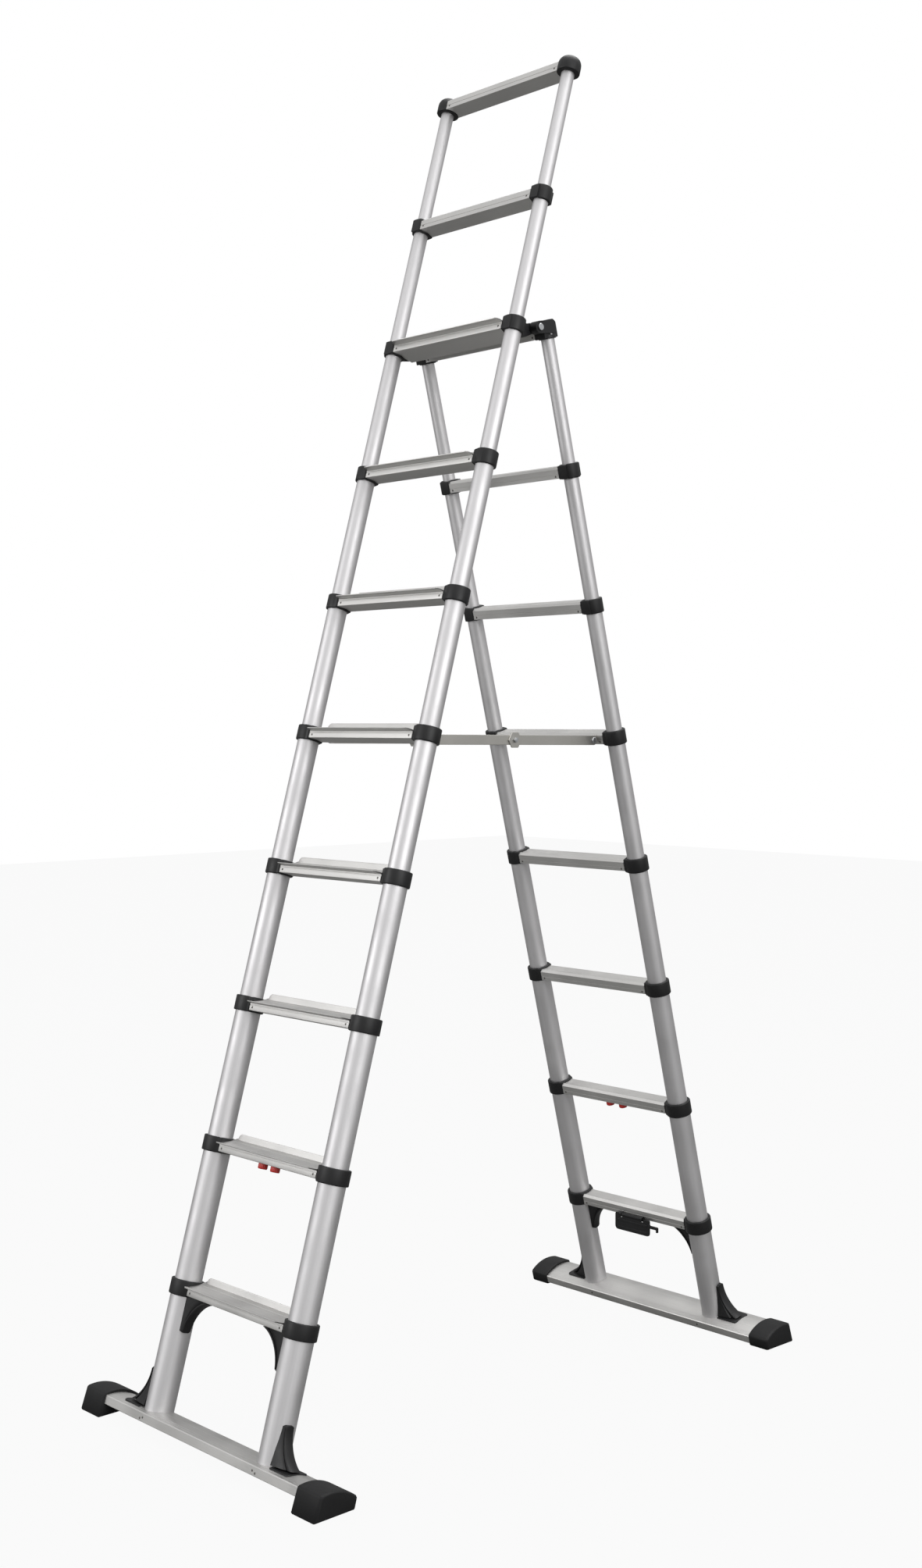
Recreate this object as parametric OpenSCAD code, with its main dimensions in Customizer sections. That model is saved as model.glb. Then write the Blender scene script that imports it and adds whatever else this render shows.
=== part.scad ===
// Telescoping A-frame ladder: a ten-rung front ladder and an eight-rung rear ladder,
// hinged together at the front ladder's eighth rung, shown extended and opened.
// X is the width, Y runs from the front ladder (-) to the rear ladder (+), Z is up.
// The origin lies on the floor, in the middle of the stance.

/* [Stance] */
// Lean of the front ladder from the vertical, degrees
front_lean = 16.1; // [13:0.1:20]
// Lean of the rear ladder from the vertical, degrees
rear_lean = 14.5; // [11:0.1:18]
// Distance between two rungs of an extended ladder
rung_pitch = 295; // [270:1:330]
// Height of the first front rung above the floor, measured along the stile
first_rung = 286; // [250:1:320]
// Distance between the left and right stile axes
stile_spacing = 376; // [340:1:460]

/* [Stiles] */
// Outer diameter of the lowest front tube
base_tube_d = 60; // [58:0.5:66]
// Wall of every tube
tube_wall = 1.5; // [1.3:0.1:1.8]
// Radial sliding clearance between one tube and the next
slide_clearance = 0.25; // [0.15:0.05:0.3]
// Length of each tube that stays inside the one below when it is pulled out
tube_overlap = 26; // [24:1:34]

/* [Collars] */
// Height of a collar along the stile
collar_h = 32; // [28:1:36]
// Wall of a collar around its tube
collar_wall = 4.5; // [3.5:0.5:6]
// Depth of the boss that holds the end of a rung
boss_depth = 45; // [43:1:50]
// Height of that boss
boss_h = 29; // [27:1:32]

/* [Rungs] */
// Distance from the face of a tube to the end of its rung
rung_setback = 1; // [0:0.5:4]
// Depth of a rung from front to back
rung_depth = 40; // [38:1:42]
// Height of a rung
rung_h = 25; // [23:1:27]
// Wall of the rung extrusion
rung_wall = 2; // [1.6:0.1:2.5]
// Length of the tongue on each boss that plugs the rung's hollow
tongue_length = 12; // [8:1:18]
// Forward reach of a tread's front lip
front_lip = 16; // [8:1:20]
// Height of a tread's back lip
back_lip = 12; // [6:1:13]
// Extra depth of the platform tread at the hinge
platform_extra = 19; // [10:1:22]

/* [Base] */
// Width over the feet of the front base
front_base_w = 780; // [720:5:900]
// Width over the feet of the rear base
rear_base_w = 754; // [680:5:850]
// Depth of the base bars
bar_depth = 84; // [80:1:92]
// Height of a bar's side face
bar_side_h = 18; // [16:1:22]
// Rise of the arched top of a bar over its side face
bar_crown = 8; // [5:1:10]
// Wall of the bar extrusion
bar_wall = 2.5; // [2:0.1:3]
// Height of a bar's underside above the floor, measured along the stile
bar_s = 14.5; // [14:0.5:22]
// Length of a front foot along the bar
front_foot_length = 70; // [60:1:80]
// Length of a rear foot along the bar
rear_foot_length = 54; // [48:1:66]
// Rubber between a bar and the inner side of its foot
foot_wall = 2.2; // [1.8:0.1:2.6]
// Height of the corner gussets above the bar
gusset_h = 76; // [60:1:80]
// Length of the rung braces down the stile and along the rung
brace_length = 70; // [60:1:80]

/* [Hinge and spreader] */
// Distance of the hinge pin behind the front stile axis
hinge_offset = 56.8; // [56:0.1:62]
// Distance of the hinge pin in front of the rear stile axis
hinge_rear_offset = 33.4; // [33:0.1:36]
// Diameter of the hinge pins
hinge_pin_d = 10; // [8:0.5:12]
// Height of the flat spreader arms
arm_h = 21; // [18:1:22]
// Thickness of the spreader arms
arm_t = 4; // [3:0.1:4.2]
// Distance of the spreader pivots from the stile axes
spreader_offset = 33; // [32:0.5:34]
// Diameter of the spreader bolts
spreader_bolt_d = 8; // [6:0.5:9]

/* [Controls] */
// Diameter of the release buttons
button_d = 20; // [16:1:22]
// Height of a release button under the rung
button_h = 11; // [8:1:14]
// Distance of each release button from the middle
button_x = 20; // [20:1:26]
// Diameter of the lock bolts
lock_bolt_d = 9; // [7:0.5:10]
// Travel of a release button and its lock bolt
release_travel = 8; // [5:0.5:8]
// Length of the transport latch plate
latch_length = 108; // [90:1:130]
// Drop of the transport latch plate below its pin
latch_drop = 38; // [30:1:42]

/* [Hidden] */
$fn = 48;
tiny = 0.01;

// Clearances and small fixed sizes
fit = 0.1;              // radial or face clearance of pieces fixed to each other
running_fit = 0.08;     // radial clearance of a pin in its hole
gap = 0.3;              // clearance between pieces that move past each other
tube_top = 12;          // a tube ends this far above the middle of its collar
flange_h = 3;           // flange of the plug in a tube's lower end
plug_h = 40;            // plug above its flange
rung_chamfer = 5;       // bevel on the top edges of a plain rung
lip_t = 2.5;            // thickness of the tread lips
tread_front_drop = 6.5; // a tread's top starts this far below the plain rung's top
foot_cover = 6;         // rubber over the crown of a bar
foot_crown = 10;        // rise of a foot's arched top
foot_wall_out = 5;      // rubber on a foot's outer side, beside the top of the bar
foot_flare = 4;         // and this much more at the floor
foot_end_wall = 6;      // rubber between the bar's end and the foot's outer face
foot_chamfer = 8;       // cut corners of a foot, seen from above
cap_r = 25;             // radius of the front top caps
hinge_eye_r = 11;       // radius of the hinge bracket's eye
lug_eye_r = 13;         // radius of the rear cap's eye
hinge_ear_t = 14;       // thickness of a hinge bracket's ear
front_count = 10;
rear_count = 8;
hinge_rung = 8;
spreader_rung = 5;
release_rung = 2;
gusset_reach = 48;      // reach of a gusset along the bar
gusset_foot = 14;       // a gusset's rib starts this far below the bar's crown
gusset_arc_r = 80;      // hollow edge of a gusset
brace_arc_r = 80;       // hollow edge of a rung brace
web_t = 22;             // thickness of gussets and braces
web_tip = 6;            // width of a web's thin end beside its tube
web_seat = 8;           // a web wraps this far round its tube
plate_w = 50;           // depth of a gusset's plate
plate_t = 3;            // thickness of that plate over the crown
button_y = -8;          // a release button sits this far in front of the rung's middle
gusset_y = -6;          // a front gusset sits this far toward the climber
brace_y = -4;           // and a front rung brace this far
latch_barrel_d = 11;    // the lugs' ends are this round, the barrel a millimetre thinner
latch_y = -rung_depth / 2 - latch_barrel_d / 2; // latch pin, measured from the rung's middle
latch_z = -10;          // and this far below it
latch_shift = 3;        // the latch plate sits this far to the right
latch_rise = 3;         // and reaches this far above its pin
latch_pin_d = 5;        // pin of the latch
latch_lug_x = 30;       // inner face of the latch lugs
latch_lug_t = 6;        // thickness of a latch lug
latch_t = 5;            // thickness of the latch plate
latch_hook = 26;        // reach of the latch hook past the plate

silver = "silver";
dark = "#2a2a2c";
red = "#c03028";
steel = "gainsboro";

// Derived sizes
stile_x = stile_spacing / 2;
tube_step = 2 * (tube_wall + slide_clearance);
rear_first_tube = front_count - rear_count + 1;
hollow_w = rung_depth - 6;
hollow_z0 = -rung_h / 2 + rung_wall;
hollow_h = rung_h - tread_front_drop - rung_wall - lip_t;
lock_z = hollow_z0 + hollow_h / 2;
bar_top = bar_s + bar_side_h + bar_crown;
tread_rise = tan(front_lean);

function front_tube_d(n) = base_tube_d - (n - 1) * tube_step;
function rear_tube_d(n) = front_tube_d(n + rear_first_tube - 1);
function front_s(n) = first_rung + (n - 1) * rung_pitch;
function rung_x(d) = stile_x - d / 2 - rung_setback;
function collar_r(d) = d / 2 + collar_wall;

// The rear ladder hangs from the hinge pin, and its foot is cut to reach the floor
hinge_z_local = 19.5;
rear_hinge_z = 10.7;
function turn(a, p) = [p[0] * cos(a) - p[1] * sin(a), p[0] * sin(a) + p[1] * cos(a)];
hinge_rung_from_foot = turn(-front_lean, [0, front_s(hinge_rung)]);
hinge_from_rung = turn(-front_lean, [hinge_offset, hinge_z_local]);
rear_top_from_hinge = turn(rear_lean, [hinge_rear_offset, -rear_hinge_z]);
rear_top = hinge_rung_from_foot + hinge_from_rung + rear_top_from_hinge;
rear_top_s = rear_top[1] / cos(rear_lean);
rear_first = rear_top_s - (rear_count - 1) * rung_pitch;
foot_spread = rear_top[0] + rear_top[1] * tan(rear_lean);
front_y = -foot_spread / 2;
rear_y = foot_spread / 2;
function rear_s(n) = rear_first + (n - 1) * rung_pitch;
tube_foot = bar_s + bar_wall + gap;

// Spreader geometry: pivots in the world's Y-Z plane
front_pivot = turn(-front_lean, [spreader_offset, front_s(spreader_rung)]) + [front_y, 0];
rear_pivot = turn(rear_lean, [-spreader_offset, rear_s(spreader_rung)]) + [rear_y, 0];
arm_vector = rear_pivot - front_pivot;
arm_angle = atan2(arm_vector[1], arm_vector[0]);
// The folded rear ladder hangs this much higher, so its arm is longer and both fold flat
fold_rise = hinge_z_local - rear_hinge_z;
front_arm_length = (norm(arm_vector) - fold_rise) / 2;
rear_arm_length = (norm(arm_vector) + fold_rise) / 2;
rear_ear_x = rung_x(front_tube_d(spreader_rung)) - 19;
rear_arm_x = rear_ear_x + arm_t + gap;
front_ear_x = rear_arm_x;
front_arm_x = rear_arm_x + arm_t + gap;
bolt_head_h = 3;
hex_r = 19;
hex_t = 3;

// Hinge: the front ear lies inside, the rear cap's lug outside
ear_x = rung_x(front_tube_d(hinge_rung)) + 0.75;
lug_x = ear_x + hinge_ear_t + gap;
cap_outer_x = stile_x + 17;

// Frames of the two ladders: local Z runs up the stile, local Y is square to it
module on_front(s) translate([0, front_y, 0]) rotate([-front_lean, 0, 0]) translate([0, 0, s]) children();
module on_rear(s) translate([0, rear_y, 0]) rotate([rear_lean, 0, 0]) translate([0, 0, s]) children();

module both_sides() {
    children();
    mirror([1, 0, 0]) children();
}

// A cylinder along +X that starts at x
module x_rod(x, length, d) translate([x, 0, 0]) rotate([0, 90, 0]) cylinder(d = d, h = length);

// One tube, with the hole for the lock bolt in its upper end
module tube(d, s0, s1, lock_s) {
    difference() {
        translate([stile_x, 0, s0]) cylinder(d = d, h = s1 - s0, $fn = 64);
        translate([stile_x, 0, s0 - 1]) cylinder(d = d - 2 * tube_wall, h = s1 - s0 + 2, $fn = 64);
        if (lock_s > 0)
            translate([0, 0, lock_s + lock_z]) x_rod(stile_x - d / 2 - 2, d / 2, lock_bolt_d + 2 * gap);
    }
}

module front_tubes(n) {
    bottom = n == 1 ? tube_foot : front_s(n - 1) - tube_overlap;
    color(silver) on_front(0) both_sides()
        tube(front_tube_d(n), bottom, front_s(n) + tube_top, n < front_count ? front_s(n) : 0);
}

module rear_tubes(n) {
    bottom = n == 1 ? tube_foot : rear_s(n - 1) - tube_overlap;
    on_rear(0) both_sides()
        tube(rear_tube_d(n), bottom, rear_s(n) + tube_top, n < rear_count ? rear_s(n) : 0);
}

// Plug that guides a tube's lower end and keeps the next tube off it
module end_plug(d) {
    difference() {
        union() {
            translate([0, 0, -flange_h]) cylinder(d = d, h = flange_h);
            cylinder(d = d - 2 * tube_wall - 2 * fit, h = plug_h);
        }
        translate([0, 0, -flange_h - 1]) cylinder(d = d / 3, h = plug_h + flange_h + 2);
    }
}

// Outline of a rung's section in the local Y-Z plane
module plain_outline(depth) {
    c = rung_chamfer;
    translate([-rung_depth / 2, -rung_h / 2])
        polygon([[0, 0], [depth, 0], [depth, rung_h - c], [depth - c, rung_h], [c, rung_h], [0, rung_h - c]]);
}

// The tread's top is level when the ladder leans; a lip runs along its front and its back
module tread_outline(depth) {
    y0 = -rung_depth / 2;
    y1 = y0 + depth;
    z0 = rung_h / 2 - tread_front_drop;
    z1 = z0 + depth * tread_rise;
    polygon([
        [y0, -rung_h / 2], [y1, -rung_h / 2], [y1, z1 - lip_t], [y1 + 1.5, z1 + back_lip],
        [y1 + 1.5 - lip_t, z1 + back_lip], [y1 - lip_t, z1], [y0, z0],
        [y0 - front_lip + 1, z0 + 0.5], [y0 - front_lip, z0 + 0.5 - lip_t / 2],
        [y0 - front_lip + 1, z0 + 0.5 - lip_t], [y0, z0 - lip_t]]);
}

module rung_body(end_x) {
    rotate([90, 0, 90]) translate([0, 0, -end_x]) linear_extrude(2 * end_x) children();
}

module rung_hollow(end_x, y0, w) {
    translate([-end_x - 1, y0, hollow_z0]) cube([2 * end_x + 2, w, hollow_h]);
}

// Slot under the release rung in which a button's stem slides
module release_slot() {
    w = lock_bolt_d + 2 * gap;
    translate([button_x - release_travel - w / 2, -w / 2, -rung_h / 2 - 1])
        cube([release_travel + w, w, rung_wall + 2]);
}

// A rung between two tubes of diameter d; its ends are hollowed to the round of radius end_r
module rung(kind, d, end_r, depth = rung_depth, released = false) {
    end_x = rung_x(d);
    difference() {
        rung_body(end_x) {
            if (kind == "tread") tread_outline(depth);
            else plain_outline(depth);
        }
        rung_hollow(end_x, -hollow_w / 2, hollow_w);
        if (depth > rung_depth) rung_hollow(end_x, rung_depth / 2 - 1, depth - rung_depth - 1);
        if (released) both_sides() release_slot();
        both_sides() translate([stile_x, 0, -collar_h])
            cylinder(r = end_r + fit, h = 2 * collar_h + back_lip, $fn = 64);
    }
}

// Spring bolt that locks the next section; its tip stops short of the sliding tube
module lock_bolt(d) {
    x0 = rung_x(d) - tongue_length - 4;
    tip = stile_x - d / 2 + tube_wall - gap;
    translate([0, 0, lock_z]) x_rod(x0, tip - x0, lock_bolt_d);
}

module front_rung(n) {
    d = front_tube_d(n);
    end_r = n == front_count ? cap_r : collar_r(d);
    color(silver) on_front(front_s(n)) {
        if (n < hinge_rung) rung("tread", d, end_r, released = n == release_rung);
        else if (n == hinge_rung) rung("tread", d, end_r, rung_depth + platform_extra);
        else rung("plain", d, end_r);
        if (n < front_count && n != release_rung) both_sides() lock_bolt(d);
        if (n == spreader_rung) both_sides() spreader_ear(1, front_ear_x);
    }
}

module rear_frame(n) {
    d = rear_tube_d(n);
    color(silver) {
        rear_tubes(n);
        on_rear(rear_s(n)) {
            rung("plain", d, collar_r(d), released = n == release_rung);
            if (n < rear_count && n != release_rung) both_sides() lock_bolt(d);
            if (n == spreader_rung) both_sides() spreader_ear(-1, rear_ear_x);
            if (n == 1) latch_bracket();
        }
    }
}

// Boss beside a collar, with the tongue that fills the end of the rung's hollow
module boss_block(d) {
    x0 = rung_x(d);
    translate([x0, -boss_depth / 2, -boss_h / 2]) cube([stile_x - x0, boss_depth, boss_h]);
    rung_tongue(x0);
}

module rung_tongue(x0) {
    translate([x0 - tongue_length, -hollow_w / 2 + fit, hollow_z0 + fit])
        cube([tongue_length + rung_setback + 1, hollow_w - 2 * fit, hollow_h - 2 * fit]);
}

// Space inside a collar: the tube below, the sliding tube above and the lock bolt's channel
module collar_bore(d, next_d) {
    translate([stile_x, 0, -collar_h / 2 - 1])
        cylinder(d = d + 2 * fit, h = collar_h / 2 + 1 + tube_top + gap, $fn = 64);
    if (next_d > 0) {
        translate([stile_x, 0, 0]) cylinder(d = next_d + 2 * gap, h = collar_h, $fn = 64);
        translate([0, 0, lock_z])
            x_rod(rung_x(d) - tongue_length - 1, stile_x - rung_x(d) + tongue_length, lock_bolt_d + 2 * gap);
    }
}

module collar(d, next_d) {
    difference() {
        union() {
            translate([stile_x, 0, -collar_h / 2]) cylinder(r = collar_r(d), h = collar_h, $fn = 64);
            boss_block(d);
        }
        collar_bore(d, next_d);
    }
}

module front_collars(n) {
    color(dark) {
        on_front(front_s(n)) both_sides() collar(front_tube_d(n), front_tube_d(n + 1));
        if (n > 1)
            on_front(front_s(n - 1) - tube_overlap) both_sides()
                translate([stile_x, 0, 0]) end_plug(front_tube_d(n));
    }
}

// Domed cap over the top end of a front stile
module front_top_cap() {
    difference() {
        union() {
            translate([stile_x, 0, 0]) intersection() {
                translate([0, 0, -collar_h / 2 + 2]) cylinder(r = cap_r, h = 40, $fn = 64);
                translate([0, 0, -8]) sphere(r = cap_r + 7, $fn = 64);
            }
            boss_block(front_tube_d(front_count));
        }
        collar_bore(front_tube_d(front_count), 0);
    }
}

module front_top_caps() {
    color(dark) {
        on_front(front_s(front_count)) both_sides() front_top_cap();
        on_front(front_s(front_count - 1) - tube_overlap) both_sides()
            translate([stile_x, 0, 0]) end_plug(front_tube_d(front_count));
    }
}

module rear_collars(n) {
    color(dark) {
        on_rear(rear_s(n)) both_sides() collar(rear_tube_d(n), rear_tube_d(n + 1));
        if (n > 1)
            on_rear(rear_s(n - 1) - tube_overlap) both_sides()
                translate([stile_x, 0, 0]) end_plug(rear_tube_d(n));
    }
}

// Block over the top end of a rear stile, with the lug that carries the hinge pin
module rear_top_cap() {
    d = rear_tube_d(rear_count);
    x0 = rung_x(d);
    front_face = -hinge_rear_offset + hinge_eye_r + gap;
    block_top = 24;
    back = 18;
    difference() {
        union() {
            translate([x0, front_face, -boss_h / 2])
                cube([cap_outer_x - x0, back - front_face, boss_h / 2 + block_top - 6]);
            translate([x0 + 3, front_face + 6, 0])
                cube([cap_outer_x - x0 - 8, back - front_face - 12, block_top]);
            translate([stile_x, 0, -collar_h / 2]) cylinder(r = collar_r(d), h = collar_h, $fn = 64);
            translate([lug_x, -hinge_rear_offset, rear_hinge_z - lug_eye_r])
                cube([cap_outer_x - lug_x, hinge_rear_offset, 2 * lug_eye_r]);
            translate([0, -hinge_rear_offset, rear_hinge_z]) x_rod(lug_x, cap_outer_x - lug_x, 2 * lug_eye_r);
            rung_tongue(x0);
        }
        collar_bore(d, 0);
        translate([0, -hinge_rear_offset, rear_hinge_z])
            x_rod(lug_x - 1, cap_outer_x, hinge_pin_d + 2 * running_fit);
    }
}

module rear_top_caps() {
    color(dark) {
        on_rear(rear_s(rear_count)) both_sides() rear_top_cap();
        on_rear(rear_s(rear_count - 1) - tube_overlap) both_sides()
            translate([stile_x, 0, 0]) end_plug(rear_tube_d(rear_count));
    }
}

// Ear of the front hinge half, from the back of the boss to the pin
module hinge_ear() {
    start = boss_depth / 2 + fit;
    rotate([90, 0, 90]) translate([0, 0, ear_x]) linear_extrude(hinge_ear_t) {
        difference() {
            union() {
                translate([hinge_offset, hinge_z_local]) circle(r = hinge_eye_r);
                polygon([
                    [start, -boss_h / 2], [start, boss_h / 2], [hinge_offset, hinge_z_local + hinge_eye_r],
                    [hinge_offset, hinge_z_local - hinge_eye_r]]);
            }
            translate([hinge_offset, hinge_z_local]) circle(d = hinge_pin_d + 2 * fit);
        }
    }
}

module hinge_brackets() {
    on_front(front_s(hinge_rung)) both_sides() {
        color(dark) difference() {
            hinge_ear();
            translate([stile_x, 0, -collar_h])
                cylinder(r = collar_r(front_tube_d(hinge_rung)) + fit, h = 2 * collar_h, $fn = 64);
        }
        color(steel) translate([0, hinge_offset, hinge_z_local]) {
            x_rod(ear_x - 1, cap_outer_x - ear_x + 3, hinge_pin_d);
            x_rod(ear_x - 4, 3 + tiny, hinge_pin_d + 6);
        }
    }
}

// Closed outline of an arched bar: straight sides and a crown that is one arc
module arched_outline(half, z0, side_h, crown) {
    r = (half * half + crown * crown) / (2 * crown);
    intersection() {
        translate([-half, z0]) square([2 * half, side_h + crown]);
        translate([0, z0 + side_h + crown - r]) circle(r = r, $fn = 180);
    }
}

module along_x(x0, x1) rotate([90, 0, 90]) translate([0, 0, x0]) linear_extrude(x1 - x0) children();

module base_bar(base_w) {
    half = base_w / 2 - foot_end_wall;
    difference() {
        along_x(-half, half) arched_outline(bar_depth / 2, bar_s, bar_side_h, bar_crown);
        along_x(-half - 1, half + 1)
            arched_outline(bar_depth / 2 - bar_wall, bar_s + bar_wall, bar_side_h - 2 * bar_wall, bar_crown);
        both_sides() translate([stile_x, 0, bar_s + bar_side_h / 2])
            children();
    }
}

// The bars lie square to their stiles
module front_base_bar()
    color(silver) on_front(0) base_bar(front_base_w) cylinder(d = base_tube_d + 4 * fit, h = 80, $fn = 64);
module rear_base_bar()
    color(silver) on_rear(0) base_bar(rear_base_w) cylinder(d = rear_tube_d(1) + 4 * fit, h = 80, $fn = 64);

// Section of a foot, in its stile's frame: the outer side at -Y flares toward the floor
module foot_outline() {
    inner_y = bar_depth / 2 + foot_wall;
    outer_y = -bar_depth / 2 - foot_wall_out;
    top = bar_top + foot_cover;
    r = (inner_y * inner_y + foot_crown * foot_crown) / (2 * foot_crown);
    intersection() {
        polygon([[outer_y - foot_flare, -40], [inner_y, -40], [inner_y, top], [outer_y + 1, top]]);
        translate([0, top - r]) circle(r = r, $fn = 180);
    }
}

// Rubber foot on the right end of a bar; the caller cuts it level with the floor
module foot(base_w, foot_length) {
    outer = base_w / 2;
    inner = outer - foot_length;
    y0 = -bar_depth / 2 - foot_wall_out - foot_flare;
    y1 = bar_depth / 2 + foot_wall;
    difference() {
        intersection() {
            along_x(inner, outer) foot_outline();
            translate([0, 0, -60]) linear_extrude(160) polygon([
                [inner, y0], [outer - foot_chamfer, y0], [outer, y0 + foot_chamfer],
                [outer, y1 - foot_chamfer], [outer - foot_chamfer, y1], [inner, y1]]);
        }
        along_x(inner - 1, outer - foot_end_wall + fit)
            arched_outline(bar_depth / 2 + fit, bar_s - fit, bar_side_h + fit, bar_crown + fit);
    }
}

module above_floor() difference() {
    children();
    translate([-front_base_w, -front_base_w * 2, -200]) cube([2 * front_base_w, 4 * front_base_w, 200]);
}

module front_feet() color(dark) above_floor()
    on_front(0) both_sides() foot(front_base_w, front_foot_length);
module rear_feet() color(dark) above_floor()
    on_rear(0) mirror([0, 1, 0]) both_sides() foot(rear_base_w, rear_foot_length);

// Centre of the circle of radius r that passes through a and b, on the left of the way from a to b
function arc_centre(a, b, r) =
    let (m = (a + b) / 2, c = b - a, l = norm(c), h = sqrt(r * r - l * l / 4))
    m + [-c[1], c[0]] / l * h;

// Web of a gusset or a brace: a corner at the origin, one leg along X, one along Z, and a hollow arc
module web_outline(reach, height, tip_w, toe_t, arc_r) {
    difference() {
        square([reach, height]);
        translate(arc_centre([tip_w, height], [reach, toe_t], arc_r)) circle(r = arc_r, $fn = 96);
    }
}

// Rib that stands outside the right stile; its tube side is cut by the caller
module gusset_rib(tube_r) {
    translate([stile_x + tube_r - web_seat, web_t / 2, -gusset_foot]) rotate([90, 0, 0]) linear_extrude(web_t)
        web_outline(gusset_reach + web_seat, gusset_h + gusset_foot, web_tip + web_seat, 14, gusset_arc_r);
}

// Plate under the rib, which lies on the crown of the bar
module gusset_plate(tube_r) {
    translate([stile_x + tube_r - web_seat, -plate_w / 2, -bar_crown])
        cube([gusset_reach + web_seat + 6, plate_w, bar_crown + plate_t]);
}

// Gusset between a bar and the outside of its tube, in the stile's frame
module gusset(tube_d, base_w) {
    difference() {
        translate([0, 0, bar_top]) {
            gusset_rib(tube_d / 2);
            gusset_plate(tube_d / 2);
        }
        translate([stile_x, -gusset_y, 0]) children();
        along_x(-base_w / 2, base_w / 2) translate([-gusset_y, 0])
            arched_outline(bar_depth / 2 + fit, bar_s - fit, bar_side_h + fit, bar_crown + fit);
    }
}

// Brace in the corner under the first rung, in the rung's own frame
module rung_brace(tube_d, y0) {
    corner_x = stile_x - tube_d / 2;
    difference() {
        translate([corner_x + web_seat, y0 + web_t / 2, -rung_h / 2 - fit]) rotate([90, 180, 0])
            linear_extrude(web_t)
            web_outline(brace_length + web_seat, brace_length + 4, web_tip + web_seat, 4, brace_arc_r);
        translate([stile_x, 0, -200]) cylinder(d = tube_d + 2 * fit, h = 400, $fn = 64);
        translate([stile_x, 0, -collar_h / 2 - fit])
            cylinder(r = collar_r(tube_d) + fit, h = collar_h, $fn = 64);
        translate([rung_x(tube_d) - fit, -boss_depth, -boss_h / 2 - fit]) cube([stile_x, 2 * boss_depth, boss_h]);
    }
}

module front_braces() {
    color(dark) on_front(0) both_sides() {
        translate([0, gusset_y, 0]) gusset(base_tube_d, front_base_w)
            cylinder(d = base_tube_d + 2 * fit, h = 300, $fn = 64);
        translate([0, 0, front_s(1)]) rung_brace(base_tube_d, brace_y);
    }
}

module rear_braces() {
    d = rear_tube_d(1);
    color(dark) on_rear(0) mirror([0, 1, 0]) both_sides() {
        translate([0, gusset_y, 0]) gusset(d, rear_base_w)
            cylinder(d = d + 2 * fit, h = 300, $fn = 64);
        translate([0, 0, rear_s(1)]) rung_brace(d, brace_y);
    }
}

// Ear that carries a spreader pivot; side is 1 behind the rung and -1 in front of it
module spreader_ear(side, x0) {
    start = rung_depth / 2 + fit;
    along_x(x0, x0 + arm_t) mirror([side < 0 ? 1 : 0, 0]) difference() {
        union() {
            translate([start, -arm_h / 2]) square([spreader_offset - start, arm_h]);
            translate([spreader_offset, 0]) circle(d = arm_h);
        }
        translate([spreader_offset, 0]) circle(d = spreader_bolt_d + 2 * running_fit);
    }
}

module arm_outline(arm_length, far_hole_d) {
    difference() {
        union() {
            circle(d = arm_h);
            translate([0, -arm_h / 2]) square([arm_length, arm_h]);
            translate([arm_length, 0]) circle(d = arm_h);
        }
        circle(d = spreader_bolt_d + 2 * fit);
        translate([arm_length, 0]) circle(d = far_hole_d);
    }
}

// Bolt of a spreader pivot, from the inner side of its ear to the outer side of its arm
module pivot_bolt(ear_x0, arm_x0) {
    head_d = spreader_bolt_d + 6;
    x_rod(ear_x0 - gap - bolt_head_h, bolt_head_h + tiny, head_d);
    x_rod(ear_x0 - gap, arm_x0 + arm_t + gap - ear_x0, spreader_bolt_d);
    x_rod(arm_x0 + arm_t, bolt_head_h, head_d);
}

// Hexagonal plate and bolt where the two arms meet
module spreader_knuckle() {
    hex_x = front_arm_x + arm_t;
    color(silver) along_x(hex_x + fit, hex_x + hex_t) difference() {
        rotate(30) circle(r = hex_r, $fn = 6);
        circle(d = spreader_bolt_d + 2 * fit);
    }
    color(steel) {
        x_rod(front_arm_x, arm_t + hex_t + 4, spreader_bolt_d);
        x_rod(hex_x + hex_t + fit, 5, spreader_bolt_d + 4);
    }
}

module spreader_front_arms() {
    both_sides() translate([0, front_pivot[0], front_pivot[1]]) rotate([arm_angle, 0, 0]) {
        color(silver) along_x(front_arm_x, front_arm_x + arm_t)
            arm_outline(front_arm_length, spreader_bolt_d + 2 * fit);
        color(steel) pivot_bolt(front_ear_x, front_arm_x);
        translate([0, front_arm_length, 0]) spreader_knuckle();
    }
}

module spreader_rear_arms() {
    both_sides() translate([0, rear_pivot[0], rear_pivot[1]]) rotate([arm_angle, 0, 0]) {
        color(silver) along_x(rear_arm_x, rear_arm_x + arm_t)
            mirror([1, 0]) arm_outline(rear_arm_length, spreader_bolt_d + 2 * gap);
        color(steel) pivot_bolt(rear_ear_x, rear_arm_x);
    }
}

// Release button under the rung, with the rod that draws the right lock bolt
module release(tube_d) {
    tip = stile_x - tube_d / 2 + tube_wall - gap;
    button_top = -rung_h / 2 - gap;
    color(red) {
        translate([button_x, button_y, button_top - button_h]) cylinder(d = button_d, h = button_h);
        translate([button_x, 0, button_top - 2]) cylinder(d = lock_bolt_d, h = 2 + gap + rung_wall + hollow_h / 2);
        translate([0, 0, lock_z]) x_rod(button_x, tip - button_x, lock_bolt_d);
    }
}

module front_release_right() on_front(front_s(release_rung)) release(front_tube_d(release_rung));
module front_release_left() mirror([1, 0, 0]) front_release_right();
module rear_release_right() on_rear(rear_s(release_rung)) release(rear_tube_d(release_rung));
module rear_release_left() mirror([1, 0, 0]) rear_release_right();

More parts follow.
